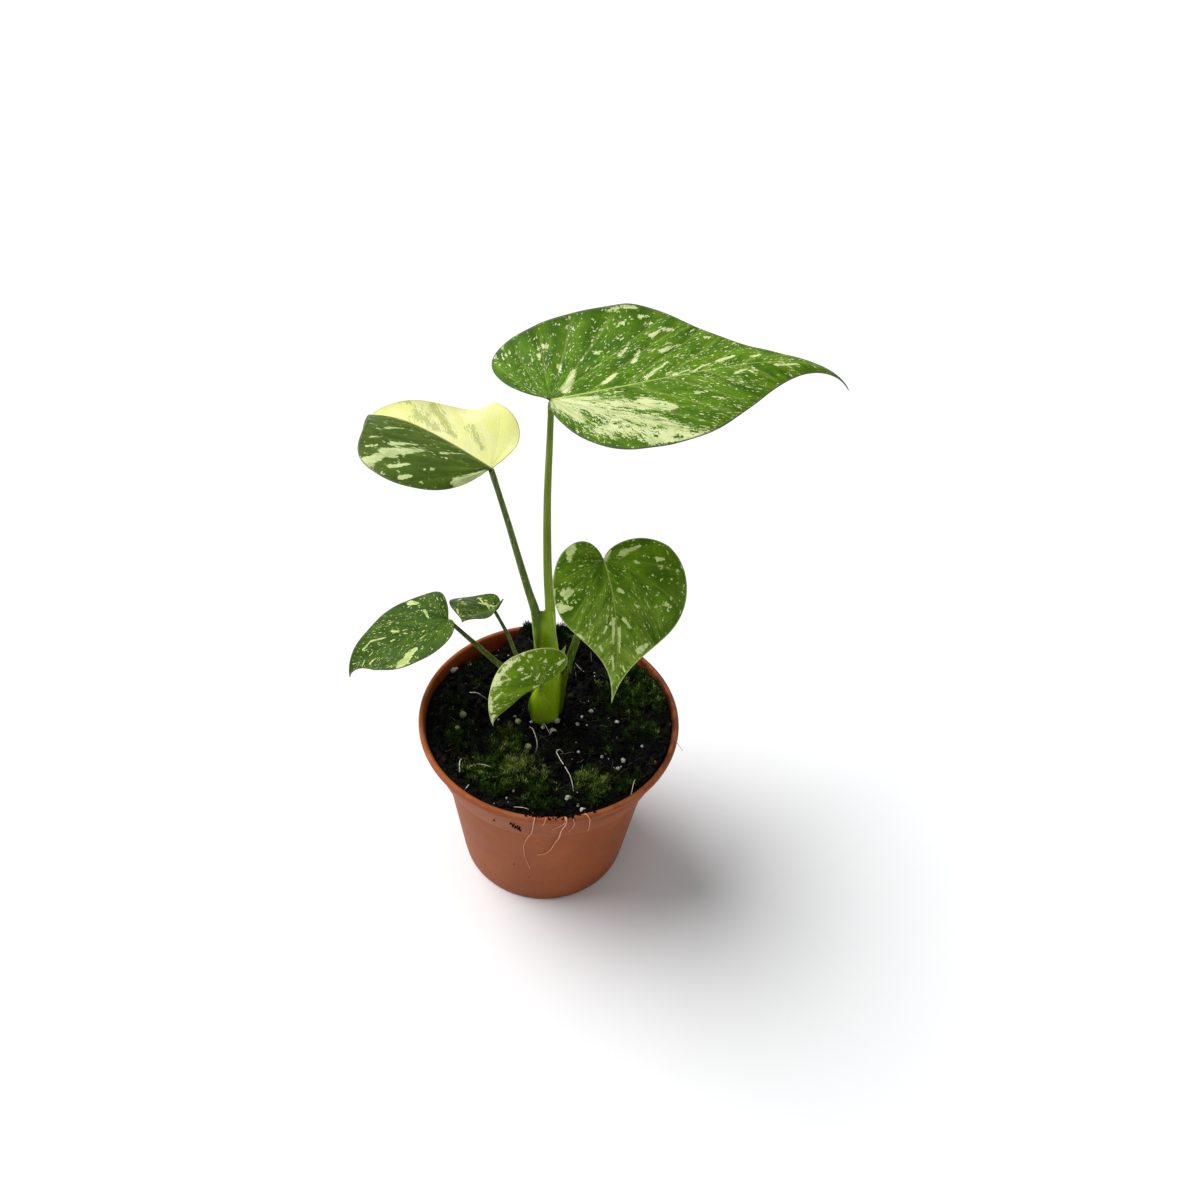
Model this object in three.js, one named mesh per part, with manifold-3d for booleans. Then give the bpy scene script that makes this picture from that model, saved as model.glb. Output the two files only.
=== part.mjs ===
// A young variegated Monstera in a round plastic nursery pot, in millimetres.
// +Z is up, the plant's front faces -Y, and the origin is the middle of the pot's underside.
import * as THREE from 'three';
import { mergeVertices } from 'three/addons/utils/BufferGeometryUtils.js';
import Module from 'manifold-3d';

const wasm = await Module();
wasm.setup();

// Pot: a thin moulded wall, with a straight body, a soft shoulder, a wider collar and a rolled lip.
const POT_HEIGHT = 92;
const RIM_RADIUS = 60;
const BASE_RADIUS = 41;
const BODY_TOP = { radius: 49.6, height: 67 };
const COLLAR_FOOT = { radius: 53, height: 70.5 };
const COLLAR_TOP = { radius: 58.1, height: 87.8 };
const WALL = 1.3;
const FLOOR = 2.2;
const FOOT_RING_WIDTH = 4.6;
const FOOT_RECESS = 0.9;
const MIDDLE_PAD_RADIUS = 11.5;
const DRAIN = { count: 8, radius: 3.6, circle: 24 };
const ROUND_SEGMENTS = 48;

// Soil: peat mix, a shallow dish that is high at the front, with mounds and one hollow.
const CLEARANCE = 0.35;
const SOIL_MIDDLE_HEIGHT = 84.2;
const SOIL_EDGE_RISE = 4.2;
const SOIL_FRONT_RISE = 1.4;
const SOIL_RINGS = 11;
const MOUNDS = [
  { x: -10, y: 50, rise: 8, spread: 9 },
  { x: 4, y: 49, rise: 9, spread: 11 },
  { x: -34, y: 44, rise: -4, spread: 17 },
  { x: -20, y: -19, rise: 2.2, spread: 10 },
  { x: -13, y: -33, rise: 1.8, spread: 9 },
  { x: 18, y: -38, rise: 1.5, spread: 8 },
  { x: 42, y: 22, rise: 1.6, spread: 13 },
];
const CHUNK_COUNT = 34;
const CHUNK_RADIUS = { min: 1.5, max: 2.9 };

// Leaves: each stalk runs from the crown to its blade, and `sheath` is how much of it, counted in
// path points, is still part of the crown. `stalkEnd` is where the stalk stops short of the blade's
// attachment, so that it ends just under the blade. Sizes are in millimetres and angles in degrees.
const BLADE_THICKNESS = 0.7;
const MIDRIB_REACH = 5.6;
const LEAVES = {
  upper_right: {
    stalk: {
      path: [
        [-2.2, 4.4, 116], [-1.6, 3, 136], [-2, 2.6, 154], [-3.7, 2.6, 175],
        [-5, 3.4, 210], [-5, 4.2, 237], [-5, 5, 253.5],
      ],
      radius: [3.2, 2.7, 2.25, 1.8, 1.5, 1.25, 1.1],
      sheath: 2.1,
    },
    stalkEnd: 1.85,
    attach: [-5, 5, 253.5],
    heading: 6,
    pitch: 12,
    roll: -1,
    length: 116.5,
    widestAt: 0.27,
    arch: -1,
    tipDrop: 71,
    sway: 4,
    tipWidth: 0.09,
    rib: 0.9,
    left: {
      width: 40, lobe: 25.5, sinus: 0.57, back: 1.27, full: 0.27, taper: 0.6,
      fold: [1, -15], curl: 33, droop: -26, ruffle: [-4, 2.7, 3.2, 1],
    },
    right: {
      width: 33, lobe: 2, sinus: 0.05, back: 1.14, full: 0.48, taper: 0.55,
      fold: [3, -8], curl: -17, droop: 20, ruffle: [1, -1.5, -2, -2],
    },
  },
  upper_left: {
    stalk: {
      path: [
        [-4.8, 4, 109], [-6.3, 2.5, 136], [-8, 1.6, 152], [-11.3, 1.2, 165],
        [-15.6, 0.8, 182.5], [-20.3, 0.4, 202], [-26.5, 0, 226],
      ],
      radius: [3, 2.5, 2, 1.6, 1.4, 1.2, 1.05],
      sheath: 2.2,
    },
    stalkEnd: 1.6,
    attach: [-26.5, 0, 226],
    heading: 144,
    pitch: 9,
    roll: 6,
    length: 75,
    widestAt: 0.29,
    arch: 17,
    tipDrop: 82,
    sway: -1,
    tipWidth: 0,
    rib: 0.8,
    left: {
      width: 39, lobe: 1, sinus: 0.14, back: 1.44, full: 0.42, taper: 0.59,
      fold: [9, 24], curl: -22, droop: 42, ruffle: [-3, 1, -1, 0.5],
    },
    right: {
      width: 27, lobe: 1.4, sinus: 0.32, back: 1.6, full: 0.15, taper: 0.62,
      fold: [9, 39], curl: -19.6, droop: 9, ruffle: [3, 5.6, -2.2, 1.9],
    },
  },
  heart_front: {
    stalk: {
      path: [
        [3, 7.2, 80], [3.6, 7, 86], [4.2, 7, 92.5], [5.3, 6.6, 108],
        [7.2, 6.2, 119], [9.6, 5.4, 132], [12.3, 4, 147.5], [15, 1.5, 164],
        [18.5, -3.5, 187],
      ],
      radius: [2.4, 2.3, 2.2, 2, 2, 1.8, 1.6, 1.4, 1.1],
      sheath: 3.4,
    },
    stalkEnd: 1.95,
    attach: [18.5, -3.5, 187],
    heading: 293,
    pitch: -32,
    roll: -12,
    length: 57,
    widestAt: 0.21,
    arch: 23,
    tipDrop: 1,
    sway: -20,
    tipWidth: 0.09,
    rib: 0.6,
    left: {
      width: 33, lobe: 7, sinus: 0.05, back: 1.36, full: 0.53, taper: 0.61,
      fold: [14, 2], curl: 0, droop: -10, ruffle: [2, -0.5, -2, 1.5],
    },
    right: {
      width: 24.5, lobe: 11, sinus: 0.05, back: 1.19, full: 0.49, taper: 0.55,
      fold: [9, -2], curl: -39, droop: -14, ruffle: [1.5, 0.5, -0.5, -1.5],
    },
  },
  low_left: {
    stalk: {
      path: [
        [-4, 5, 96], [-8, 5.5, 100.8], [-14.5, 7, 105.4], [-22.9, 9.5, 111],
        [-36.7, 14, 122], [-48, 17, 132],
      ],
      radius: [2.3, 2.1, 1.7, 1.45, 1.1, 0.85],
      sheath: 1.2,
    },
    stalkEnd: 1.35,
    attach: [-48, 17, 132],
    heading: 198,
    pitch: -16,
    roll: -2,
    length: 59,
    widestAt: 0.3,
    arch: 24,
    tipDrop: 51,
    sway: -11,
    tipWidth: 0.03,
    rib: 0.6,
    left: {
      width: 22.5, lobe: 4.5, sinus: 0.23, back: 1.18, full: 0.45, taper: 0.57,
      fold: [17, 8], curl: -6, droop: -19, ruffle: [2, 0.5, 2.5, -1.5],
    },
    right: {
      width: 21.5, lobe: 4.5, sinus: 0.14, back: 0.96, full: 0.5, taper: 0.33,
      fold: [4, 13], curl: 11, droop: -19, ruffle: [4.5, -4, -3.5, 1],
    },
  },
  young_back: {
    stalk: {
      path: [
        [-4, 7, 97], [-8.5, 9, 99.7], [-12.9, 15, 104.5], [-17.1, 19, 110.2],
        [-21.1, 22.5, 118.8], [-27.5, 26, 130.5],
      ],
      radius: [2, 1.7, 1.2, 1, 0.9, 0.7],
      sheath: 1.2,
    },
    stalkEnd: 1.2,
    attach: [-27.5, 26, 130.5],
    heading: 218,
    pitch: 18,
    roll: 42,
    length: 25.5,
    widestAt: 0.27,
    arch: 4,
    tipDrop: 38,
    sway: 32,
    tipWidth: 0.04,
    rib: 0.3,
    left: {
      width: 10.5, lobe: 3, sinus: 0.05, back: 1.08, full: 0.53, taper: 0.24,
      fold: [13, -18], curl: 9, droop: 4, ruffle: [2.5, 1, -2.5, -1],
    },
    right: {
      width: 18.5, lobe: 8.5, sinus: 0.05, back: 1.31, full: 0.47, taper: 0.42,
      fold: [40, 43], curl: -16, droop: 0, ruffle: [2.5, -1, -1, -1],
    },
  },
  young_front: {
    stalk: {
      path: [
        [-3.6, 4, 80.5], [-4.4, 3, 86.6], [-5.4, 1, 95], [-5.8, -4.5, 106.5],
        [-4.6, -9.6, 117], [-3.8, -13.6, 123.3], [-5, -16, 126.5],
      ],
      radius: [4.6, 4.8, 5, 3.2, 1.6, 1.1, 0.8],
      sheath: 3.3,
    },
    stalkEnd: 3.5,
    attach: [-5, -16, 126.5],
    heading: 203,
    pitch: -13,
    roll: -19,
    length: 31.5,
    widestAt: 0.16,
    arch: 50,
    tipDrop: 46,
    sway: 12,
    tipWidth: 0.04,
    rib: 0.3,
    left: {
      width: 8, lobe: 1.5, sinus: 0.08, back: 1.14, full: 0.4, taper: 0.37,
      fold: [-112, -80], curl: -10, droop: 8, ruffle: [0.5, 1.5, 0.5, 0.5],
    },
    right: {
      width: 16.5, lobe: 16, sinus: 0.12, back: 1.46, full: 0.43, taper: 0.37,
      fold: [54, 44], curl: -34, droop: 13, ruffle: [1, 1, -1, 0],
    },
  },
};

// Crown: the short stem with its sheaths, sunk in the soil.
const STEM = {
  path: [
    [-3, 6.8, 66], [-2.8, 6.6, 83], [-2.1, 6.2, 94], [-2.1, 5.2, 108],
    [-2.3, 4.4, 122], [-3.8, 3, 139], [-5, 2.1, 149], [-5.4, 1.7, 153],
  ],
  radius: [5.5, 5.8, 5.6, 5.4, 5.2, 4.8, 3.2, 1],
};
const OLD_SHEATH = {
  path: [
    [0.5, 4.8, 104], [3.2, 4.2, 123], [5.4, 4, 131.5],
  ],
  radius: [2.6, 1.7, 0.5],
};

// A solid from a closed geometry, turned so that its faces point out.
function solidOf(geometry) {
  const bare = geometry.clone();
  bare.deleteAttribute('normal');
  bare.deleteAttribute('uv');
  const merged = mergeVertices(bare, 1e-4);
  const vertProperties = new Float32Array(merged.attributes.position.array);
  const corners = Array.from(merged.index.array);
  const triVerts = [];
  for (let k = 0; k < corners.length; k += 3) {
    const [a, b, c] = corners.slice(k, k + 3);
    if (a !== b && b !== c && a !== c) {
      triVerts.push(a, b, c);
    }
  }
  if (signedVolume(vertProperties, triVerts) < 0) {
    triVerts.reverse();
  }
  const mesh = new wasm.Mesh({ numProp: 3, vertProperties, triVerts: new Uint32Array(triVerts) });
  return new wasm.Manifold(mesh);
}

function signedVolume(points, triangles) {
  const at = (k) => new THREE.Vector3(points[3 * k], points[3 * k + 1], points[3 * k + 2]);
  let volume = 0;
  for (let k = 0; k < triangles.length; k += 3) {
    volume += at(triangles[k]).dot(at(triangles[k + 1]).cross(at(triangles[k + 2]))) / 6;
  }
  return volume;
}

function geometryOf(solid) {
  const mesh = solid.getMesh();
  const geometry = new THREE.BufferGeometry();
  geometry.setAttribute('position', new THREE.BufferAttribute(new Float32Array(mesh.vertProperties), 3));
  geometry.setIndex(new THREE.BufferAttribute(new Uint32Array(mesh.triVerts), 1));
  return geometry;
}

function geometryFrom(points, triangles) {
  const geometry = new THREE.BufferGeometry();
  const numbers = points.flatMap((p) => p.toArray());
  geometry.setAttribute('position', new THREE.Float32BufferAttribute(numbers, 3));
  geometry.setIndex(triangles);
  return geometry;
}

// A repeatable random number between 0 and 1.
function seededRandom(seed) {
  let state = seed;
  return () => {
    state = (state * 1664525 + 1013904223) % 4294967296;
    return state / 4294967296;
  };
}

const radians = THREE.MathUtils.degToRad;
const between = (a, b, share) => a + (b - a) * share;

// Radius of the pot's inner face at a height.
function innerRadius(height) {
  const stations = [
    [0, BASE_RADIUS],
    [BODY_TOP.height, BODY_TOP.radius],
    [COLLAR_FOOT.height, COLLAR_FOOT.radius],
    [COLLAR_TOP.height, COLLAR_TOP.radius],
    [POT_HEIGHT, RIM_RADIUS - 1.1],
  ];
  for (let k = 1; k < stations.length; k += 1) {
    const [low, lowRadius] = stations[k - 1];
    const [high, highRadius] = stations[k];
    if (height <= high) {
      return between(lowRadius, highRadius, (height - low) / (high - low)) - WALL;
    }
  }
  return RIM_RADIUS - 1.1 - WALL;
}

function makePot() {
  const ringInner = BASE_RADIUS - 1 - FOOT_RING_WIDTH;
  const lipInner = RIM_RADIUS - 2.6;
  const profile = [
    [0, 0],
    [MIDDLE_PAD_RADIUS, 0],
    [MIDDLE_PAD_RADIUS + 0.8, FOOT_RECESS],
    [ringInner - 0.8, FOOT_RECESS],
    [ringInner, 0],
    [BASE_RADIUS - 0.9, 0],
    [BASE_RADIUS - 0.1, 0.9],
    [BODY_TOP.radius, BODY_TOP.height],
    [BODY_TOP.radius + 1, BODY_TOP.height + 1.6],
    [COLLAR_FOOT.radius, COLLAR_FOOT.height],
    [COLLAR_TOP.radius, COLLAR_TOP.height],
    [RIM_RADIUS - 0.5, COLLAR_TOP.height + 0.5],
    [RIM_RADIUS, COLLAR_TOP.height + 1.3],
    [RIM_RADIUS, POT_HEIGHT - 0.9],
    [RIM_RADIUS - 0.6, POT_HEIGHT - 0.2],
    [RIM_RADIUS - 1.3, POT_HEIGHT],
    [lipInner + 0.4, POT_HEIGHT - 0.3],
    [lipInner, POT_HEIGHT - 1],
    [innerRadius(COLLAR_TOP.height - 1), COLLAR_TOP.height - 1],
    [innerRadius(COLLAR_FOOT.height), COLLAR_FOOT.height],
    [innerRadius(BODY_TOP.height), BODY_TOP.height],
    [innerRadius(FLOOR + 1), FLOOR + 1],
    [innerRadius(FLOOR) - 1, FLOOR],
    [0, FLOOR],
  ];
  const outline = profile.map(([radius, height]) => new THREE.Vector2(radius, height));
  const body = new THREE.LatheGeometry(outline, ROUND_SEGMENTS);
  body.rotateX(Math.PI / 2);
  let pot = solidOf(body);
  for (let k = 0; k < DRAIN.count; k += 1) {
    const angle = ((k + 0.5) / DRAIN.count) * 2 * Math.PI;
    const drill = new THREE.CylinderGeometry(DRAIN.radius, DRAIN.radius, 4 * FLOOR, 12);
    drill.rotateX(Math.PI / 2);
    drill.translate(DRAIN.circle * Math.cos(angle), DRAIN.circle * Math.sin(angle), 0);
    pot = pot.subtract(solidOf(drill));
  }
  return pot;
}

// Height of the soil before its lumps: the slope and the mounds.
function soilSlope(x, y) {
  const share = Math.min(Math.hypot(x, y) / 56, 1);
  let height = SOIL_MIDDLE_HEIGHT + SOIL_EDGE_RISE * share * share - SOIL_FRONT_RISE * (y / 56);
  for (const mound of MOUNDS) {
    const distance = Math.hypot(x - mound.x, y - mound.y) / mound.spread;
    height += mound.rise * Math.exp(-distance * distance);
  }
  return height;
}

function soilHeight(x, y) {
  const edgeFade = Math.min(1, (60 - Math.hypot(x, y)) / 12);
  const lumps = 0.8 * Math.sin(0.23 * x + 1.1) * Math.sin(0.19 * y + 0.4)
    + 0.6 * Math.sin(0.41 * x - 0.33 * y + 2)
    + 0.4 * Math.sin(0.62 * x + 0.5 * y);
  return soilSlope(x, y) + edgeFade * lumps;
}

// The soil has the same flats round its side as the pot's wall, so that it clears the wall evenly.
function makeSoil(crownHole) {
  const points = [new THREE.Vector3(0, 0, FLOOR + CLEARANCE)];
  const rings = [];
  const addRing = (pointAt) => {
    const ring = [];
    for (let k = 0; k < ROUND_SEGMENTS; k += 1) {
      ring.push(points.length);
      points.push(pointAt((k / ROUND_SEGMENTS) * 2 * Math.PI));
    }
    rings.push(ring);
  };
  const wallRing = (height) => addRing((angle) => {
    const radius = innerRadius(height) - CLEARANCE;
    return new THREE.Vector3(radius * Math.cos(angle), radius * Math.sin(angle), height);
  });
  addRing((angle) => {
    const radius = innerRadius(FLOOR) - 1 - 2 * CLEARANCE;
    return new THREE.Vector3(radius * Math.cos(angle), radius * Math.sin(angle), FLOOR + CLEARANCE);
  });
  wallRing(FLOOR + 1.6);
  wallRing(BODY_TOP.height);
  wallRing(COLLAR_FOOT.height);
  const edge = (angle) => {
    let radius = 55;
    let height = 0;
    for (let pass = 0; pass < 4; pass += 1) {
      height = Math.min(soilHeight(radius * Math.cos(angle), radius * Math.sin(angle)), POT_HEIGHT - 0.8);
      radius = innerRadius(height) - CLEARANCE - 0.05;
    }
    return { radius, height };
  };
  addRing((angle) => {
    const { radius, height } = edge(angle);
    return new THREE.Vector3(radius * Math.cos(angle), radius * Math.sin(angle), height);
  });
  for (let ring = 1; ring < SOIL_RINGS; ring += 1) {
    addRing((angle) => {
      const radius = edge(angle).radius * (1 - ring / SOIL_RINGS);
      const x = radius * Math.cos(angle);
      const y = radius * Math.sin(angle);
      return new THREE.Vector3(x, y, soilHeight(x, y));
    });
  }
  const top = points.length;
  points.push(new THREE.Vector3(0, 0, soilHeight(0, 0)));
  const triangles = [];
  for (let k = 0; k < ROUND_SEGMENTS; k += 1) {
    const next = (k + 1) % ROUND_SEGMENTS;
    triangles.push(0, rings[0][next], rings[0][k]);
    for (let ring = 1; ring < rings.length; ring += 1) {
      const below = rings[ring - 1];
      const above = rings[ring];
      triangles.push(below[k], below[next], above[next], below[k], above[next], above[k]);
    }
    const last = rings[rings.length - 1];
    triangles.push(last[k], last[next], top);
  }
  let soil = solidOf(geometryFrom(points, triangles));
  const random = seededRandom(7);
  for (let k = 0; k < CHUNK_COUNT; k += 1) {
    const reach = 49 * Math.sqrt(random());
    const angle = 2 * Math.PI * random();
    const radius = between(CHUNK_RADIUS.min, CHUNK_RADIUS.max, random());
    const chunk = new THREE.IcosahedronGeometry(radius, 0);
    chunk.rotateZ(6 * random());
    chunk.rotateX(6 * random());
    chunk.scale(1.3, 1, 0.7);
    const x = reach * Math.cos(angle);
    const y = reach * Math.sin(angle);
    chunk.translate(x, y, soilHeight(x, y) + 0.1 * radius);
    soil = soil.add(solidOf(chunk));
  }
  return soil.subtract(crownHole);
}

// A round stalk along a smooth path, with a radius for each of the path's points.
function stalk(path, radii, { from = 0, to = path.length - 1, sides = 8, steps = 14, grow = 0 }) {
  const curve = new THREE.CatmullRomCurve3(path.map((p) => new THREE.Vector3(...p)));
  const last = path.length - 1;
  const points = [];
  const rings = [];
  let across = new THREE.Vector3(1, 0, 0);
  for (let step = 0; step <= steps; step += 1) {
    const station = between(from, to, step / steps);
    const along = curve.getTangent(station / last);
    const centre = curve.getPoint(station / last);
    if (step === 0) {
      centre.addScaledVector(along, -grow);
    }
    across = across.clone().addScaledVector(along, -across.dot(along)).normalize();
    const side = new THREE.Vector3().crossVectors(along, across);
    const low = Math.min(Math.floor(station), last - 1);
    const radius = between(radii[low], radii[low + 1], station - low) + grow;
    const ring = [];
    for (let k = 0; k < sides; k += 1) {
      const angle = (k / sides) * 2 * Math.PI;
      ring.push(points.length);
      points.push(centre.clone()
        .addScaledVector(across, radius * Math.cos(angle))
        .addScaledVector(side, radius * Math.sin(angle)));
    }
    rings.push(ring);
  }
  const start = points.length;
  points.push(curve.getPoint(from / last).addScaledVector(curve.getTangent(from / last), -grow));
  const end = points.length;
  points.push(curve.getPoint(to / last));
  const triangles = [];
  for (let k = 0; k < sides; k += 1) {
    const next = (k + 1) % sides;
    triangles.push(start, rings[0][next], rings[0][k]);
    triangles.push(end, rings[steps][k], rings[steps][next]);
    for (let step = 0; step < steps; step += 1) {
      const below = rings[step];
      const above = rings[step + 1];
      triangles.push(below[k], below[next], above[next], below[k], above[next], above[k]);
    }
  }
  return solidOf(geometryFrom(points, triangles));
}

// The crown holds the foot of every stalk, as one grown piece.
function makeCrown(grow) {
  let crown = stalk(STEM.path, STEM.radius, { sides: 14, steps: 18, grow });
  crown = crown.add(stalk(OLD_SHEATH.path, OLD_SHEATH.radius, { sides: 8, steps: 6, grow }));
  for (const leaf of Object.values(LEAVES)) {
    const { path, radius, sheath } = leaf.stalk;
    crown = crown.add(stalk(path, radius, { to: sheath, sides: 10, steps: 6, grow }));
  }
  return crown;
}

// A stalk starts just clear of the crown and ends just under its blade.
function makeStalk(leaf) {
  const { path, radius, sheath } = leaf.stalk;
  const last = path.length - 1;
  const spacing = (k) => new THREE.Vector3(...path[k]).distanceTo(new THREE.Vector3(...path[k + 1]));
  const from = sheath + CLEARANCE / spacing(Math.floor(sheath));
  const to = last - leaf.stalkEnd / spacing(last - 1);
  return stalk(path, radius, { from, to });
}

// Half of a blade's outline on the flat, from the notch round the lobe to the tip, as [along, across].
function halfOutline(leaf, half) {
  const { width, lobe, sinus, back, full, taper } = half;
  const widest = leaf.widestAt * leaf.length;
  const rest = leaf.length - widest;
  const lobeCurve = new THREE.CubicBezierCurve(
    new THREE.Vector2(0, 0),
    new THREE.Vector2(-lobe * back, width * sinus),
    new THREE.Vector2(-lobe * 1.2, width),
    new THREE.Vector2(widest, width),
  );
  const tipCurve = new THREE.CubicBezierCurve(
    new THREE.Vector2(widest, width),
    new THREE.Vector2(widest + full * rest, width),
    new THREE.Vector2(leaf.length - taper * rest, width * leaf.tipWidth),
    new THREE.Vector2(leaf.length, 0),
  );
  return [...lobeCurve.getPoints(9), ...tipCurve.getPoints(11).slice(1)];
}

// The midrib as a chain of frames: forward, to the left, and up out of the upper face.
function midribFrames(leaf) {
  const heading = radians(leaf.heading);
  const pitch = radians(leaf.pitch);
  const roll = radians(leaf.roll);
  const forward0 = new THREE.Vector3(
    Math.cos(pitch) * Math.cos(heading),
    Math.cos(pitch) * Math.sin(heading),
    Math.sin(pitch),
  );
  const level = new THREE.Vector3(0, 0, 1).cross(forward0).normalize();
  const left0 = level.clone().applyAxisAngle(forward0, roll);
  const up0 = forward0.clone().cross(left0);
  const frames = [];
  const stations = 24;
  const step = leaf.length / stations;
  const place = new THREE.Vector3(...leaf.attach);
  for (let k = 0; k <= stations; k += 1) {
    const share = k / stations;
    const bend = radians(-(leaf.arch * share + leaf.tipDrop * share ** 5));
    const swing = radians(leaf.sway * share);
    const bent = forward0.clone().multiplyScalar(Math.cos(bend)).addScaledVector(up0, Math.sin(bend));
    const up = up0.clone().multiplyScalar(Math.cos(bend)).addScaledVector(forward0, -Math.sin(bend));
    const forward = bent.clone().multiplyScalar(Math.cos(swing)).addScaledVector(left0, Math.sin(swing));
    const left = left0.clone().multiplyScalar(Math.cos(swing)).addScaledVector(bent, -Math.sin(swing));
    if (k > 0) {
      place.addScaledVector(frames[k - 1].forward, step / 2).addScaledVector(forward, step / 2);
    }
    frames.push({ place: place.clone(), forward, left, up });
  }
  return frames;
}

function frameAt(frames, share) {
  const station = THREE.MathUtils.clamp(share, 0, 1) * (frames.length - 1);
  const low = Math.min(Math.floor(station), frames.length - 2);
  const mix = (key) => frames[low][key].clone().lerp(frames[low + 1][key], station - low);
  return { place: mix('place'), forward: mix('forward'), left: mix('left'), up: mix('up') };
}

// How far the margin is lifted out of the blade, a smooth wave through the four ruffle values.
function ruffleAt(ruffle, share) {
  const values = [0, ...ruffle, 0];
  const place = Math.min(share * 5, 4.999);
  const low = Math.floor(place);
  const f = place - low;
  const at = (k) => values[THREE.MathUtils.clamp(k, 0, 5)];
  const [p0, p1, p2, p3] = [at(low - 1), at(low), at(low + 1), at(low + 2)];
  const slope = (p2 - p0) * f;
  const bend = (2 * p0 - 5 * p1 + 4 * p2 - p3) * f * f;
  const twist = (3 * p1 - p0 - 3 * p2 + p3) * f ** 3;
  return 0.5 * (2 * p1 + slope + bend + twist);
}

// A point of the flat outline, along and across the blade, lifted to its bent place.
function liftPoint(leaf, half, sign, frames, along, across) {
  const frame = frameAt(frames, along / leaf.length);
  const droopPerMm = radians(half.droop) / half.lobe;
  const behind = Math.max(-along, 0);
  const fold = radians(between(half.fold[0], half.fold[1], Math.max(along, 0) / leaf.length));
  const curlPerMm = radians(half.curl) / half.width;
  const arc = (rate, start, distance) => (Math.abs(rate) < 1e-6
    ? [Math.cos(start) * distance, Math.sin(start) * distance]
    : [(Math.sin(start + rate * distance) - Math.sin(start)) / rate,
      (Math.cos(start) - Math.cos(start + rate * distance)) / rate]);
  const [back, down] = arc(droopPerMm, 0, behind);
  const [sideways, rise] = arc(curlPerMm, fold, across);
  return frame.place
    .addScaledVector(frame.forward, -back)
    .addScaledVector(frame.up, rise - down)
    .addScaledVector(frame.left, sign * sideways);
}

// A blade: rows run from the midrib to the margin, as the side veins do, from the notch to the tip.
function makeBlade(leaf) {
  const frames = midribFrames(leaf);
  const columns = 4;
  const rows = halfOutline(leaf, leaf.left).length;
  const grid = [];
  for (let row = 0; row < rows; row += 1) {
    grid.push(new Array(2 * columns + 1));
  }
  for (const [half, sign] of [[leaf.left, 1], [leaf.right, -1]]) {
    const outline = halfOutline(leaf, half);
    for (let row = 0; row < rows; row += 1) {
      const share = row / (rows - 1);
      const root = leaf.length * share ** 1.9;
      for (let column = 0; column <= columns; column += 1) {
        const out = column / columns;
        const along = between(root, outline[row].x, out);
        const across = outline[row].y * out;
        const point = liftPoint(leaf, half, sign, frames, along, across);
        const lift = ruffleAt(half.ruffle, share) * out * out;
        point.addScaledVector(frameAt(frames, along / leaf.length).up, lift);
        grid[row][columns + sign * column] = point;
      }
    }
  }
  return shell(grid, columns, leaf);
}

// The grid's two faces and the margin between them, with the first and last rows drawn to a point.
function shell(grid, columns, leaf) {
  const rows = grid.length;
  const top = [];
  const index = grid.map((row, k) => row.map(() => -1));
  for (let row = 0; row < rows; row += 1) {
    const single = row === 0 || row === rows - 1;
    for (let column = 0; column <= 2 * columns; column += 1) {
      if (single && column > 0) {
        index[row][column] = index[row][0];
      } else {
        index[row][column] = top.length;
        top.push(single ? grid[row][columns] : grid[row][column]);
      }
    }
  }
  const faces = [];
  for (let row = 0; row < rows - 1; row += 1) {
    for (let column = 0; column < 2 * columns; column += 1) {
      const a = index[row][column];
      const b = index[row][column + 1];
      const c = index[row + 1][column + 1];
      const d = index[row + 1][column];
      const outer = column < columns ? [[a, b, c], [a, c, d]] : [[a, b, d], [b, c, d]];
      for (const face of outer) {
        if (new Set(face).size === 3) {
          faces.push(face);
        }
      }
    }
  }
  const normals = top.map(() => new THREE.Vector3());
  for (const [a, b, c] of faces) {
    const normal = top[b].clone().sub(top[a]).cross(top[c].clone().sub(top[a])).normalize();
    normals[a].add(normal);
    normals[b].add(normal);
    normals[c].add(normal);
  }
  // Beside the midrib both halves are thickened the midrib's way, so that a folded blade's
  // underside never crosses itself.
  normals.forEach((n) => n.normalize());
  for (let row = 0; row < rows; row += 1) {
    const middle = index[row][columns];
    for (const k of index[row]) {
      if (k !== middle) {
        const share = Math.min(1, top[k].distanceTo(top[middle]) / MIDRIB_REACH);
        normals[k].lerpVectors(normals[middle], normals[k], share).normalize();
      }
    }
  }
  const upAtBase = frameAt(midribFrames(leaf), 0.3).up;
  const facing = Math.sign(normals[index[Math.floor(rows / 2)][columns]].dot(upAtBase));
  const points = top.map((p) => p.clone());
  for (let k = 0; k < top.length; k += 1) {
    points.push(top[k].clone().addScaledVector(normals[k], -facing * BLADE_THICKNESS));
  }
  for (let row = 1; row < rows - 1; row += 1) {
    const k = index[row][columns];
    const rib = leaf.rib * (1 - row / (rows - 1));
    points[top.length + k].addScaledVector(normals[k], -facing * rib);
  }
  const triangles = [];
  const under = top.length;
  for (const [a, b, c] of faces) {
    triangles.push(a, b, c, under + c, under + b, under + a);
  }
  const margin = [index[0][0]];
  for (let row = 1; row < rows - 1; row += 1) {
    margin.push(index[row][2 * columns]);
  }
  margin.push(index[rows - 1][0]);
  for (let row = rows - 2; row > 0; row -= 1) {
    margin.push(index[row][0]);
  }
  margin.forEach((a, k) => {
    const b = margin[(k + 1) % margin.length];
    triangles.push(b, a, under + a, b, under + a, under + b);
  });
  return solidOf(geometryFrom(points, triangles));
}

const MATERIALS = {
  pot: { color: 0x9a5a3c, roughness: 0.55 },
  soil: { color: 0x1b1512, roughness: 0.95 },
  crown: { color: 0x7d9a2a, roughness: 0.45 },
  stalk: { color: 0x667a34, roughness: 0.5 },
  blade: { color: 0x5b8a2c, roughness: 0.4 },
};

const plant = new THREE.Group();

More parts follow.
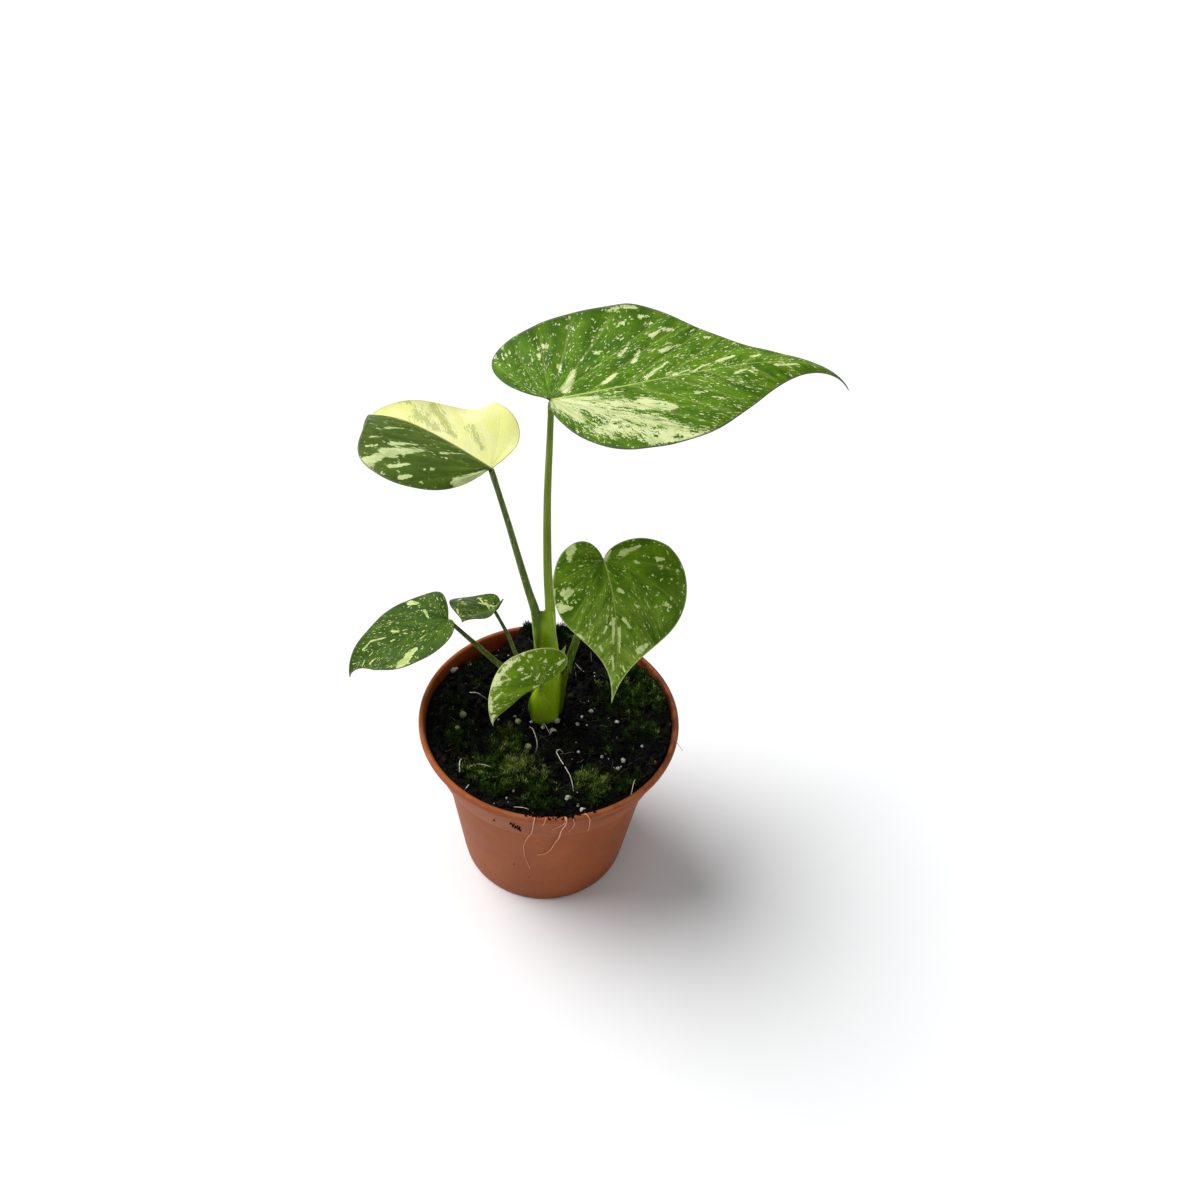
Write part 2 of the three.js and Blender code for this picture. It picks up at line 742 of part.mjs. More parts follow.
function addPiece(name, solid, finish) {
  const material = new THREE.MeshStandardMaterial({ ...MATERIALS[finish], metalness: 0 });
  const piece = new THREE.Mesh(geometryOf(solid), material);
  piece.name = name;
  plant.add(piece);
}

addPiece('pot', makePot(), 'pot');
addPiece('soil', makeSoil(makeCrown(CLEARANCE)), 'soil');
addPiece('crown', makeCrown(0), 'crown');
for (const [name, leaf] of Object.entries(LEAVES)) {
  addPiece(`petiole_${name}`, makeStalk(leaf), 'stalk');
  addPiece(`blade_${name}`, makeBlade(leaf), 'blade');
}

export default plant;
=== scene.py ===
import math
import bpy
import numpy as np
from mathutils import Matrix, Vector, noise
from mathutils.bvhtree import BVHTree


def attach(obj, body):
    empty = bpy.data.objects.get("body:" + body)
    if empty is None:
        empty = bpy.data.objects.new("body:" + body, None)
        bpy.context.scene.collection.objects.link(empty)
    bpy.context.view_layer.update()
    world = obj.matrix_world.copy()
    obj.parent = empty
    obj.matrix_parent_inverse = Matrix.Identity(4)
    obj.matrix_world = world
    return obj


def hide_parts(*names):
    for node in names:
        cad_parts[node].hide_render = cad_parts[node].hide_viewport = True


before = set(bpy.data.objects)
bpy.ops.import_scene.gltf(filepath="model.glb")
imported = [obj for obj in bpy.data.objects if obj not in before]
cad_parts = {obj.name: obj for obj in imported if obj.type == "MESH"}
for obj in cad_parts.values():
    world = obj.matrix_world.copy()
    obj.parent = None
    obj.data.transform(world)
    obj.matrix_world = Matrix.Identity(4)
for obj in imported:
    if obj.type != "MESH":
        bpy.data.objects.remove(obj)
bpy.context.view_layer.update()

# Camera. It stands about half a metre in front of the pot and above it, looks down by 42
# degrees, and is turned and tilted a little, the way the plant was photographed.
# Every size in this file is in millimetres, and MM turns it into metres.
MM = 0.001
CAMERA_PLACE = Vector((0, -304.8, 434.1))
CAMERA_TURNS = [(-3.454, "Z"), (48.41, "X"), (5.145, "Z")]

camera = bpy.data.objects.new("camera", bpy.data.cameras.new("camera"))
camera.data.lens = 29.49
camera.data.sensor_width = 36
camera.matrix_world = Matrix.Translation(CAMERA_PLACE * MM)
for degrees, axis in CAMERA_TURNS:
    camera.matrix_world = camera.matrix_world @ Matrix.Rotation(math.radians(degrees), 4, axis)
bpy.context.scene.collection.objects.link(camera)
bpy.context.scene.camera = camera
bpy.context.scene.view_settings.view_transform = "Standard"

# Nursery pot. A round terracotta-coloured pot, injection moulded in thin polypropylene, with a
# wider stiff collar, a rolled lip, a foot ring and eight drain holes. It stands on its foot ring,
# and its matt skin is mottled, scuffed and dusty. Its lip is lighter in patches, partly wear and
# partly painted highlight. Its inner wall is painted darker and redder as shade, it darkens in
# patches below the lip, and the inside of the lip on the right is darkened as painted shade.
RIM_RADIUS = 60
WALL = 1.3
POT_FLOOR = 2.2
FOOT = [(0, 0), (11.5, 0), (12.3, 0.9), (34.6, 0.9), (35.4, 0), (40.1, 0), (40.6, 0.25), (40.95, 0.9)]
OUTSIDE = [
    (0, 41), (40, 46.14), (67, 49.6), (67.8, 49.9), (69.6, 52), (70.5, 53), (78, 55.2), (87.8, 58.1),
    (88.3, 59.2), (88.8, 59.8), (89.6, 60), (92, 60),
]
LIP_MIDDLE = (58.7, 90.7)
LIP_RADIUS = 1.3
DRAIN_HOLES = 8
DRAIN_RADIUS = 3.6
DRAIN_CIRCLE = 24
POT_SIDES = 144


def paint(red, green, blue):
    """A colour given as it looks on a screen, from 0 to 255."""
    return (*[(c / 255) ** 2.2 for c in (red, green, blue)], 1)


def at(reach, turn, height=0):
    """A place given by its distance and its direction from an axis, and its height."""
    return reach * math.cos(turn), reach * math.sin(turn), height


def outer_radius(height):
    heights, radii = zip(*OUTSIDE)
    return float(np.interp(height, heights, radii))


def inner_radius(height):
    return min(outer_radius(min(height, 87)), 58) - WALL


class Value:
    """A value in a material. Reckoning with it adds math nodes, and [] picks its node's outputs."""

    def __init__(self, socket):
        self.socket = socket
        self.tree = socket.id_data

    def __getitem__(self, output):
        return Value(self.socket.node.outputs[output])

    def math(self, operation, *others):
        return put(self.tree, "ShaderNodeMath", dict(enumerate((self, *others))), operation=operation)

    def __add__(self, other):
        return self.math("ADD", other)

    def __sub__(self, other):
        return self.math("SUBTRACT", other)

    def __rsub__(self, other):
        return put(self.tree, "ShaderNodeMath", {0: other, 1: self}, operation="SUBTRACT")

    def __mul__(self, other):
        return self.math("MULTIPLY", other)

    def clamped(self):
        self.socket.node.use_clamp = True
        return self


def put(tree, kind, values=None, **settings):
    """Adds a shader node, sets or links its inputs, and gives its first output."""
    node = tree.nodes.new(kind)
    for key, value in settings.items():
        setattr(node, key, value)
    for key, value in (values or {}).items():
        if isinstance(value, Value):
            tree.links.new(value.socket, node.inputs[key])
        else:
            node.inputs[key].default_value = value
    return Value(node.outputs[0])


def blend(share, first, second):
    """A colour between two others. Three plain numbers are a colour as it looks on a screen."""
    first, second = (paint(*c) if isinstance(c, tuple) and len(c) == 3 else c for c in (first, second))
    return put(share.tree, "ShaderNodeMix", {0: share, 6: first, 7: second}, data_type="RGBA")[2]


def fade(value, low, high):
    """0 below low and 1 above high, with a soft step between; low may be the larger one."""
    inputs = {"Value": value, "From Min": low, "From Max": high}
    return put(value.tree, "ShaderNodeMapRange", inputs, interpolation_type="SMOOTHSTEP")


def grain(place, scale, detail=2.0, roughness=0.5):
    inputs = {"Vector": place, "Scale": scale, "Detail": detail, "Roughness": roughness}
    return put(place.tree, "ShaderNodeTexNoise", inputs)


def stretch(place, amounts, shift=(0, 0, 0)):
    return put(place.tree, "ShaderNodeMapping", {"Vector": place, "Scale": amounts, "Location": shift})


def split(vector, kind="XYZ"):
    """The three parts of a vector or of a colour."""
    return put(vector.tree, "ShaderNodeSeparate" + kind, {0: vector})


def read(tree, name, output="Fac"):
    """A value that is stored on the mesh under this name."""
    return put(tree, "ShaderNodeAttribute", attribute_name=name)[output]


def new_material(name, stored=False):
    """A material, and the place of each point: in its object, or as stored on the mesh."""
    material = bpy.data.materials.new(name)
    material.use_nodes = True
    tree = material.node_tree
    return material, read(tree, "place", "Vector") if stored else put(tree, "ShaderNodeTexCoord")["Object"]


def finished(material, colour, roughness, height, depth, strength, specular=0.5):
    """Joins a material's colour, its roughness and the height of its relief to its shader."""
    tree = material.node_tree
    shader = tree.nodes["Principled BSDF"]
    relief = put(tree, "ShaderNodeBump", {"Height": height, "Distance": depth, "Strength": strength})
    for name, value in (("Base Color", colour), ("Roughness", roughness), ("Normal", relief)):
        tree.links.new(value.socket, shader.inputs[name])
    shader.inputs["Specular IOR Level"].default_value = specular
    return material


def new_group(name, inputs, recipe):
    """A node group with named sockets. The recipe makes its results from what comes in."""
    tree = bpy.data.node_groups.new(name, "ShaderNodeTree")
    kinds = {type(None): "NodeSocketVector", float: "NodeSocketFloat", tuple: "NodeSocketColor"}
    for label, value in inputs.items():
        socket = tree.interface.new_socket(label, in_out="INPUT", socket_type=kinds[type(value)])
        if value is not None:
            socket.default_value = value
    results = recipe(put(tree, "NodeGroupInput"))
    for label, value in results.items():
        kind = kinds[tuple if value.socket.type == "RGBA" else float]
        tree.interface.new_socket(label, in_out="OUTPUT", socket_type=kind)
    end = tree.nodes.new("NodeGroupOutput")
    for label, value in results.items():
        tree.links.new(value.socket, end.inputs[label])
    return tree


def use_group(group, place, values):
    return put(place.tree, "ShaderNodeGroup", {"Place": place, **values}, node_tree=group)


def new_piece(name, points, faces, material, smooth=True):
    mesh = bpy.data.meshes.new(name)
    mesh.from_pydata((np.asarray(points, float) * MM).tolist(), [], faces)
    mesh.update()
    if smooth:
        mesh.shade_smooth()
    mesh.materials.append(material)
    piece = bpy.data.objects.new(name, mesh)
    bpy.context.scene.collection.objects.link(piece)
    return piece


def store(piece, name, values, kind="FLOAT", domain="POINT"):
    layer = piece.data.attributes.new(name, kind, domain)
    key = "vector" if kind == "FLOAT_VECTOR" else "value"
    layer.data.foreach_set(key, np.asarray(values, np.float32).ravel())


def places_of(piece):
    return np.array([v.co for v in piece.data.vertices]) / MM


def closed(rings, start, end):
    """A closed mesh through rings of equally many points, with one point at either end."""
    count = len(rings[0])
    points = [point for ring in rings for point in ring] + [start, end]
    steps = [(k, (k + 1) % count) for k in range(count)]
    last = count * (len(rings) - 1)
    faces = [(a + k, b + k, b + k + count, a + k + count) for k in range(0, last, count) for a, b in steps]
    for a, b in steps:
        faces += [(last + count, b, a), (last + count + 1, last + a, last + b)]
    return points, faces


def lathe(profile, count):
    """A turned body: the profile runs from the axis out, round and back to the axis."""
    turns = [2 * math.pi * k / count for k in range(count)]
    rings = [[at(radius, turn, height) for turn in turns] for radius, height in profile[1:-1]]
    return closed(rings, (0, 0, profile[0][1]), (0, 0, profile[-1][1]))


def pot_profile():
    levels = (6, 14, 24, 34, 44, 54, 62, 67, 67.8, 68.7, 69.6, 70.5, 73, 78, 83, 87, 87.8, 88.3, 88.8, 89.6)
    outside = [(outer_radius(z), z) for z in levels]
    bends = [at(LIP_RADIUS, math.radians(22.5 * k)) for k in range(9)]
    lip = [(LIP_MIDDLE[0] + out, LIP_MIDDLE[1] + up) for out, up, _ in bends]
    inside = [(inner_radius(z), z) for z in (86.8, 78, 70.5, 67, 50, 30, 12, 4)]
    return FOOT + outside + lip + inside + [(38.8, 2.7), (37.6, POT_FLOOR), (0, POT_FLOOR)]


def applied(piece, kind, **settings):
    """Adds a modifier and writes its result into the mesh."""
    modifier = piece.modifiers.new(kind.lower(), kind)
    for key, value in settings.items():
        setattr(modifier, key, value)
    bpy.context.view_layer.update()
    changed = piece.evaluated_get(bpy.context.evaluated_depsgraph_get())
    mesh = bpy.data.meshes.new_from_object(changed)
    piece.modifiers.clear()
    old = piece.data
    piece.data = mesh
    bpy.data.meshes.remove(old)


def settled_dust(given):
    """Pale dust: more of it on faces that look up, and in drifting patches."""
    drift = fade(grain(given["Place"], given["Patch Scale"], 5, 0.6), 0.42, 0.72)
    up = split(put(given.tree, "ShaderNodeNewGeometry")["Normal"])[2]
    lying = (up * 0.5).clamped() + 0.35
    fine = grain(given["Place"], 2200, 1) + 0.3
    return {"Mask": (drift * lying * fine * given["Amount"]).clamped()}


DUST = new_group("settled dust", {"Place": None, "Patch Scale": 90.0, "Amount": 0.4}, settled_dust)


def pot_plastic():
    material, place = new_material("terracotta polypropylene")
    colour = blend(fade(grain(place, 32, 4, 0.55), 0.3, 0.7), (140, 72, 34), (155, 82, 42))
    streaks = fade(grain(stretch(place, (1, 1, 0.14)), 260, 3), 0.55, 0.8)
    colour = blend(streaks * 0.22, colour, (112, 55, 26))
    speckle = fade(grain(place, 1500, 2), 0.62, 0.7)
    colour = blend(speckle * 0.25, colour, (172, 97, 56))
    # The lip is painted lighter in patches, partly as wear and partly as painted highlight.
    lip_wear_and_highlight = read(place.tree, "lip") * (fade(grain(place, 120, 4), 0.4, 0.65) * 0.6)
    colour = blend(lip_wear_and_highlight, colour, (184, 108, 68))
    # Painted shade: the inner wall is painted darker and redder than the outside.
    colour = blend(read(place.tree, "inside") * 0.85, colour, (148, 46, 20))
    # Darker in patches on the inner wall below the lip, and painted shade on the inside of the lip at the
    # right.
    damp = read(place.tree, "damp") * fade(grain(place, 140, 5), 0.3, 0.62)
    colour = blend(damp, colour, (58, 34, 24))
    dust = use_group(DUST, place, {"Patch Scale": 70.0, "Amount": 0.2})["Mask"]
    colour = blend(dust, colour, (184, 146, 118))
    scratches = fade(grain(stretch(place, (1, 1, 9)), 160, 2, 0.7), 0.66, 0.74)
    colour = blend(scratches * 0.18, colour, (214, 150, 118))
    roughness = (grain(place, 60, 3) * 0.22 + 0.4 + dust).clamped()
    skin = grain(place, 1800, 2) + grain(place, 180, 3) * 2.0
    return finished(material, colour, roughness, skin, 0.00007, 0.7, specular=0.14)


pot = new_piece("nursery_pot", *lathe(pot_profile(), POT_SIDES), pot_plastic())
drill_points, drill_faces = lathe([(0, -5), (DRAIN_RADIUS, -5), (DRAIN_RADIUS, 8), (0, 8)], 24)
for hole in range(DRAIN_HOLES):
    middle = at(DRAIN_CIRCLE, 2 * math.pi * (hole + 0.5) / DRAIN_HOLES)
    drill = new_piece("drill", np.add(drill_points, middle), drill_faces, pot.data.materials[0])
    applied(pot, "BOOLEAN", operation="DIFFERENCE", solver="EXACT", object=drill)
    bpy.data.objects.remove(drill)
across, back, height = places_of(pot).T
reach = np.hypot(across, back)
within = (reach < [inner_radius(z) + 0.4 for z in height]) & (height > 2)
# The inner wall darkens below the lip, and the inner face of the lip on the right side gets painted shade.
below_lip = within * np.clip((90 - height) / 7, 0, 1)
right_lip_shade = np.clip((across - 12) / 30, 0, 0.85) * np.clip((59.3 - reach) / 0.9, 0, 1) * (height > 80)
store(pot, "inside", within)
store(pot, "lip", np.clip(1 - np.hypot(reach - 59.2, height - 91.6) / 1.8, 0, 1))
store(pot, "damp", np.maximum(below_lip, right_lip_shade))
pot.data.shade_smooth()
pot.data.set_sharp_from_angle(angle=math.radians(38))
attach(pot, "root")
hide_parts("pot")

# Potting mix. Dark, damp peat with coir and bark fines, filled to just under the lip, heaped at
# the back and the right, banked up at the front, and sunk at the back left. Its lumps are shaped
# one by one in the surface, and it fills the pot down to the floor.
MIX_MIDDLE = 84.2
MIX_EDGE_RISE = 4.2
MIX_FRONT_RISE = 1.4
MIX_EDGE = 56
MIX_GAP = 0.4
MOUNDS = [
    (-10, 50, 8, 9), (4, 49, 9, 11), (-34, 44, -4, 17), (-20, -19, 2.2, 10), (-13, -33, 1.8, 9),
    (18, -38, 1.5, 8), (42, 22, 1.6, 13),
]
HEAPS = [
    (-13, 51.8, 4.6, 3.4, 2.5), (4.5, 53.4, 3.4, 6, 2.3), (55, 4, 1.5, 6, 20), (50, -25, 1.2, 7, 9),
    (51, 24, 1.3, 6, 10),
]
MIX_SIDES = [(37.2, POT_FLOOR + MIX_GAP)] + [(inner_radius(z) - MIX_GAP, z) for z in (6, 40, 66, 71, 80)]
MIX_REACH = 56.3
MIX_RINGS = 72
MIX_SPOKES = 330


def mix_height(x, y):
    """Height of the mix without its lumps, as the solid under it has it."""
    reach = math.hypot(x, y)
    height = MIX_MIDDLE + MIX_EDGE_RISE * min(reach / MIX_EDGE, 1) ** 2 - MIX_FRONT_RISE * y / MIX_EDGE
    for mound_x, mound_y, rise, spread in MOUNDS:
        height += rise * math.exp(-((x - mound_x) ** 2 + (y - mound_y) ** 2) / spread**2)
    waves = 0.8 * math.sin(0.23 * x + 1.1) * math.sin(0.19 * y + 0.4)
    waves += 0.6 * math.sin(0.41 * x - 0.33 * y + 2) + 0.4 * math.sin(0.62 * x + 0.5 * y)
    return height + min(1, max(0, (60 - reach) / 12)) * waves


def lumpy_height(x, y):
    """Height with the lumps, at one point."""
    coarse = noise.fractal(Vector((x * 0.16, y * 0.16, 3.1)), 0.9, 2.1, 4)
    clods = noise.noise(Vector((x * 0.42, y * 0.42, 9.2)))
    fines = noise.noise(Vector((x * 1.1, y * 1.1, 1.7)))
    rough = 1.5 * coarse + 0.9 * max(clods, -0.25) + 0.3 * fines
    reach = math.hypot(x, y)
    calm = min(1, max(0.25, (57.5 - reach) / 5))
    height = min(mix_height(x, y) + calm * rough, 93 if reach < 52 else 91.4)
    for middle_x, middle_y, rise, wide, deep in HEAPS:
        height += rise * math.exp(-(((x - middle_x) / wide) ** 2) - ((y - middle_y) / deep) ** 2)
    return height


def on_mix(x, y, above=0):
    return x, y, lumpy_height(x, y) + above


def peat():
    material, place = new_material("damp peat")
    colour = blend(fade(grain(place, 120, 6, 0.7), 0.35, 0.7), (4, 4, 2), (17, 14, 9))
    browns = fade(grain(place, 420, 4, 0.6), 0.6, 0.74)
    colour = blend(browns * 0.35, colour, (50, 40, 25))
    algae = fade(grain(stretch(place, (1, 1, 1), (0.31, 0.2, 0.1)), 45, 4), 0.56, 0.74)
    colour = blend(algae * 0.5, colour, (24, 38, 10))
    wet = fade(grain(place, 300, 3), 0.35, 0.7)
    crumble = grain(place, 800, 5, 0.7) + grain(place, 2600, 2) * 0.5
    return finished(material, colour, wet * 0.3 + 0.62, crumble, 0.0006, 0.9, specular=0.12)


def mix_body():
    turns = [2 * math.pi * k / MIX_SPOKES for k in range(MIX_SPOKES)]
    rings = [[at(radius, turn, height) for turn in turns] for radius, height in MIX_SIDES]
    for ring in range(MIX_RINGS):
        spots = [at(MIX_REACH * (1 - ring / MIX_RINGS), turn) for turn in turns]
        rings.append([on_mix(x, y) for x, y, _ in spots])
    edge = len(MIX_SIDES)
    rings[edge] = [at(inner_radius(z) - 0.1, turn, z) for turn, (_, _, z) in zip(turns, rings[edge])]
    return closed(rings, (0, 0, POT_FLOOR + MIX_GAP), on_mix(0, 0))


mix = new_piece("potting_mix", *mix_body(), peat())
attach(mix, "root")
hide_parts("soil")

# Loose crumbs. Peat crumbs, bark chips and a few pale wood fragments that lie on the mix, thicker
# at the front, where some have spilled over the lip, and a little dirt stuck to the pot.
CRUMB_COUNT = 3000
CRUMB_REACH = 56.2
CHIP_COUNT = 130
CHIP_REACH = 54
BARK_PIECES = [(-49.2, -17.9, 2.2), (-48, -15.2, 1.3), (46.5, -24, 1.2), (22, 30, 1.4)]
CROWN_CRUMBS = 70
CROWN_FOOT = (-3.4, 4.2, 0)
HEAP_CRUMBS = 150
SPILL_CRUMBS = 9
SPILL = [
    (-9, -57.5), (-5, -58), (-1, -58.6), (1, -57.8), (4, -58.8), (7, -58.2), (10, -58.4), (14, -57.2),
    (19, -56),
]
STUCK_DIRT = [
    (-104.8, 81.2, 0.7), (-103.9, 79.6, 0.9), (-103.2, 81.6, 0.55), (-102.6, 78.2, 0.85),
    (-101.9, 79.9, 0.7), (-101.5, 77.2, 0.8), (-100.9, 79.1, 0.6), (-100.8, 75.4, 0.65),
    (-103.4, 76.6, 0.6), (-104.3, 78, 0.5), (-113.3, 78, 0.55), (-107.1, 33.8, 0.5), (-97.6, 24, 0.35),
]
chance = np.random.default_rng(5)


def icosahedron():
    g = (1 + 5**0.5) / 2
    corners = [(-1, g, 0), (1, g, 0), (-1, -g, 0), (1, -g, 0), (0, -1, g), (0, 1, g)]
    corners += [(0, -1, -g), (0, 1, -g), (g, 0, -1), (g, 0, 1), (-g, 0, -1), (-g, 0, 1)]
    sides = [(0, 11, 5), (0, 5, 1), (0, 1, 7), (0, 7, 10), (0, 10, 11), (1, 5, 9), (5, 11, 4), (11, 10, 2)]
    sides += [(10, 7, 6), (7, 1, 8), (3, 9, 4), (3, 4, 2), (3, 2, 6), (3, 6, 8), (3, 8, 9), (4, 9, 5)]
    sides += [(2, 4, 11), (6, 2, 10), (8, 6, 7), (9, 8, 1)]
    return np.array(corners) / math.hypot(1, g), sides


def finer(corners, sides):
    """Splits each triangle in four and rounds the new corners out onto the ball."""
    corners = [Vector(c) for c in corners]
    middles = {}
    faces = []
    for face in sides:
        half = []
        for a, b in zip(face, face[1:] + face[:1]):
            key = (min(a, b), max(a, b))
            if key not in middles:
                middles[key] = len(corners)
                corners.append(((corners[a] + corners[b]) / 2).normalized())
            half.append(middles[key])
        faces += [(face[k], half[k], half[k - 1]) for k in range(3)] + [tuple(half)]
    return np.array(corners), faces


def joined(parts):
    """Puts several (points, faces, tone) together as one mesh."""
    points, faces, tones = [], [], []
    for part_points, part_faces, tone in parts:
        start = len(points)
        faces += [tuple(start + k for k in face) for face in part_faces]
        points += list(part_points)
        tones += [tone] * len(part_points)
    return points, faces, tones


def scattered(grains, shape, jitter):
    """One mesh of many grains, turned at random; each is its middle, size, proportions and tone."""
    corners, sides = shape
    parts = []
    for middle, size, proportions, tone in grains:
        wobble = 1 + jitter * chance.uniform(-1, 1, (len(corners), 1))
        angles = zip(chance.uniform(0, 6.3, 3), "ZXZ")
        first, second, third = (Matrix.Rotation(angle, 3, axis) for angle, axis in angles)
        sized = corners * wobble * size * proportions
        parts.append((sized @ np.array(first @ second @ third) + middle, sides, tone))
    return joined(parts)


def spot_within(radius):
    """A random spot within this distance of the pot's axis."""
    return at(radius * math.sqrt(chance.random()), chance.uniform(0, 2 * math.pi))[:2]


def kept_within(x, y, limit):
    """The same spot, moved inward if it is farther out than the limit."""
    share = limit / max(limit, math.hypot(x, y))
    return x * share, y * share


def crumb_stuff():
    material, place = new_material("peat crumbs and bark")
    tone = read(place.tree, "tone")
    colour = blend(fade(tone, 0.05, 0.75), (5, 6, 3), (25, 22, 11))
    colour = blend(fade(tone, 0.82, 1.0), colour, (120, 100, 64))
    mottle = fade(grain(place, 700, 4), 0.35, 0.7)
    colour = blend(mottle * 0.5, colour, (10, 8, 6))
    return finished(material, colour, mottle * -0.25 + 0.9, grain(place, 1800, 3), 0.0003, 0.8, specular=0.12)


loose = []
for _ in range(CRUMB_COUNT):
    x, y = spot_within(CRUMB_REACH)
    size = min(2.1, 0.34 * math.exp(abs(chance.normal(0, 0.75))))
    height = lumpy_height(x, y) + 0.25 * size
    tone = chance.random() ** 3.2
    if tone >= 0.8 and chance.random() >= 0.25:
        tone = 0.5
    loose.append(((*kept_within(x, y, inner_radius(height) - size), height), size, (1.25, 1, 0.75), tone))
for _ in range(CHIP_COUNT):
    middle = on_mix(*spot_within(CHIP_REACH), 0.4)
    loose.append((middle, chance.uniform(1.2, 3.2), (1, 0.28, 0.2), chance.uniform(0.1, 0.9)))
for x, y, long in BARK_PIECES:
    loose.append((on_mix(x, y, 0.4), long, (1, 0.6, 0.35), 0.86))
for x, y in SPILL:
    for _ in range(SPILL_CRUMBS):
        reach = math.hypot(x, y) + chance.uniform(-3.4, 0.5)
        turn = math.atan2(y, x) + chance.uniform(-0.05, 0.05)
        size = chance.uniform(0.3, 0.8)
        top = 91.9 if reach > 57.2 else 91.2
        loose.append((at(reach, turn, top + 0.35 * size), size, (1, 1, 0.7), 0.1))
for _ in range(CROWN_CRUMBS):
    turn = math.radians(chance.uniform(-200, 20))
    x, y, _ = np.add(at(chance.uniform(4.9, 7.4), turn), CROWN_FOOT)
    size = chance.uniform(0.5, 1.3)
    loose.append((on_mix(x, y, 0.5 * size), size, (1.2, 1, 0.8), 0.15))
for _ in range(HEAP_CRUMBS):
    x, y = chance.uniform(-17, 12), chance.normal(53, 1.2)
    size = chance.uniform(0.4, 1.3)
    x, y = kept_within(x, y, 56.8 - size)
    loose.append((on_mix(x, y, chance.uniform(0.2, 0.8)), size, (1.3, 1, 0.8), 0.1))
for degrees, height, size in STUCK_DIRT:
    middle = at(outer_radius(height) + 0.1 * size, math.radians(degrees), height)
    loose.append((middle, size, (1, 1, 0.6), 0.2 + 0.1 * chance.random()))
ICOSAHEDRON = icosahedron()
points, faces, tones = scattered(loose, ICOSAHEDRON, 0.28)
crumbs = new_piece("loose_crumbs", points, faces, crumb_stuff(), smooth=False)
store(crumbs, "tone", tones)
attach(crumbs, "root")

# Perlite and feed. Puffed white volcanic glass in rough grains, half sunk in the mix and stained
# by it, and a few smooth round prills of slow-release feed, greenish cream.
PERLITE = [
    (12.9, -1, 1.0), (15.2, 4.9, 0.8), (19.4, 8.2, 1.1), (31.5, 0.1, 1.0), (31.6, -7.2, 0.7),
    (24.5, -20.4, 0.8), (33.9, -22.9, 1.2), (29.8, -26.8, 0.8), (31.5, -27.5, 0.9), (37.6, -17, 0.9),
    (42.7, -14.5, 0.7), (9.6, -47.1, 1.4), (13.9, -49.2, 0.8), (16.1, -52.9, 1.3), (-48, 28.9, 1.6),
    (-46.6, 30.2, 1.0), (-8.2, 0.2, 1.3), (3.4, 0.2, 1.5), (1.8, -4.2, 1.6), (-3, -3.6, 0.9),
    (-16.5, 3, 1.0), (13.8, -18, 0.7), (-2, 34, 0.8), (33, 33, 0.8), (-14, -44, 0.7),
]
PRILLS = [
    (-14.7, -0.3, 1.5), (-9.2, -16.2, 1.7), (-15, -25.1, 1.6), (-29, -27.6, 1.4), (-33.2, -25.1, 1.0),
    (-40.3, 1, 1.7), (-41.5, -9.1, 1.5),
]
FINE_PERLITE = 70
PERLITE_REACH = 55


def perlite_stuff():
    material, place = new_material("perlite")
    pits = grain(place, 1600, 4, 0.7)
    colour = blend(fade(pits, 0.3, 0.6), (120, 122, 112), (212, 212, 204))
    stain = fade(grain(place, 420, 3), 0.48, 0.75)
    colour = blend(stain * 0.7, colour, (92, 78, 56))
    return finished(material, colour, pits * 0.3 + 0.6, pits, 0.0004, 0.9)


def prill_stuff():
    material, place = new_material("feed prills")
    colour = blend(fade(grain(place, 500, 3), 0.4, 0.65), (176, 184, 120), (112, 122, 72))
    roughness = grain(place, 900, 2) * 0.25 + 0.22
    return finished(material, colour, roughness, grain(place, 1500, 2), 0.00008, 0.6)


white = [(on_mix(x, y, 0.6 * size), size, (1.1, 1, 0.85), 1) for x, y, size in PERLITE]
for _ in range(FINE_PERLITE):
    x, y = spot_within(PERLITE_REACH)
    size = chance.uniform(0.2, 0.5)
    white.append((on_mix(x, y, 0.3 * size), size, (1, 1, 1), 1))
balls = [(on_mix(x, y, 0.4 * size), size, (1, 1, 0.95), 1) for x, y, size in PRILLS]
ROUND_GRAIN = finer(*ICOSAHEDRON)
points, faces, _ = scattered(white, ROUND_GRAIN, 0.16)
perlite = new_piece("perlite", points, faces, perlite_stuff())
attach(perlite, "root")
points, faces, _ = scattered(balls, finer(*ROUND_GRAIN), 0.015)
prills = new_piece("feed_prills", points, faces, prill_stuff())
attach(prills, "root")

# Moss. Living moss that has grown over the damp mix in cushions and loose mats. Each shoot is a
# thin stem with narrow pointed leaves set round it, and the young tips are yellow-green.
MOSS_REACH = 52.5
MOSS_DEPTH = 0.3
# Each patch is its middle, its spread, how many shoots it has and how fresh they are.
MOSS_PATCHES = [
    (-19.6, -14, 8, 80, 0.5), (-27, -31, 9, 120, 0.5), (-14, -29, 8, 150, 1.0), (-6, -38, 8, 80, 0.55),
    (-20, -40, 8, 60, 0.45), (19, -38, 7, 120, 0.85), (20, -45, 6, 40, 0.4), (30, 22, 8, 60, 0.4),
    (43, 14, 10, 150, 0.5), (50, 14, 6, 80, 0.6), (45, 30, 9, 100, 0.4), (-50, -15, 4, 20, 0.1),
    (-38, 34, 9, 40, 0.15), (4.5, 53.4, 5, 60, 0.12), (-13, 51.8, 3, 60, 0.08), (36, -36, 8, 40, 0.3),
    (-40, -14, 9, 60, 0.3), (0, -51, 8, 50, 0.3), (44, -4, 9, 60, 0.35), (-24, 14, 9, 40, 0.2),
    (26, 10, 9, 40, 0.25), (28, -14, 9, 40, 0.2), (-44, 6, 8, 40, 0.2),
]


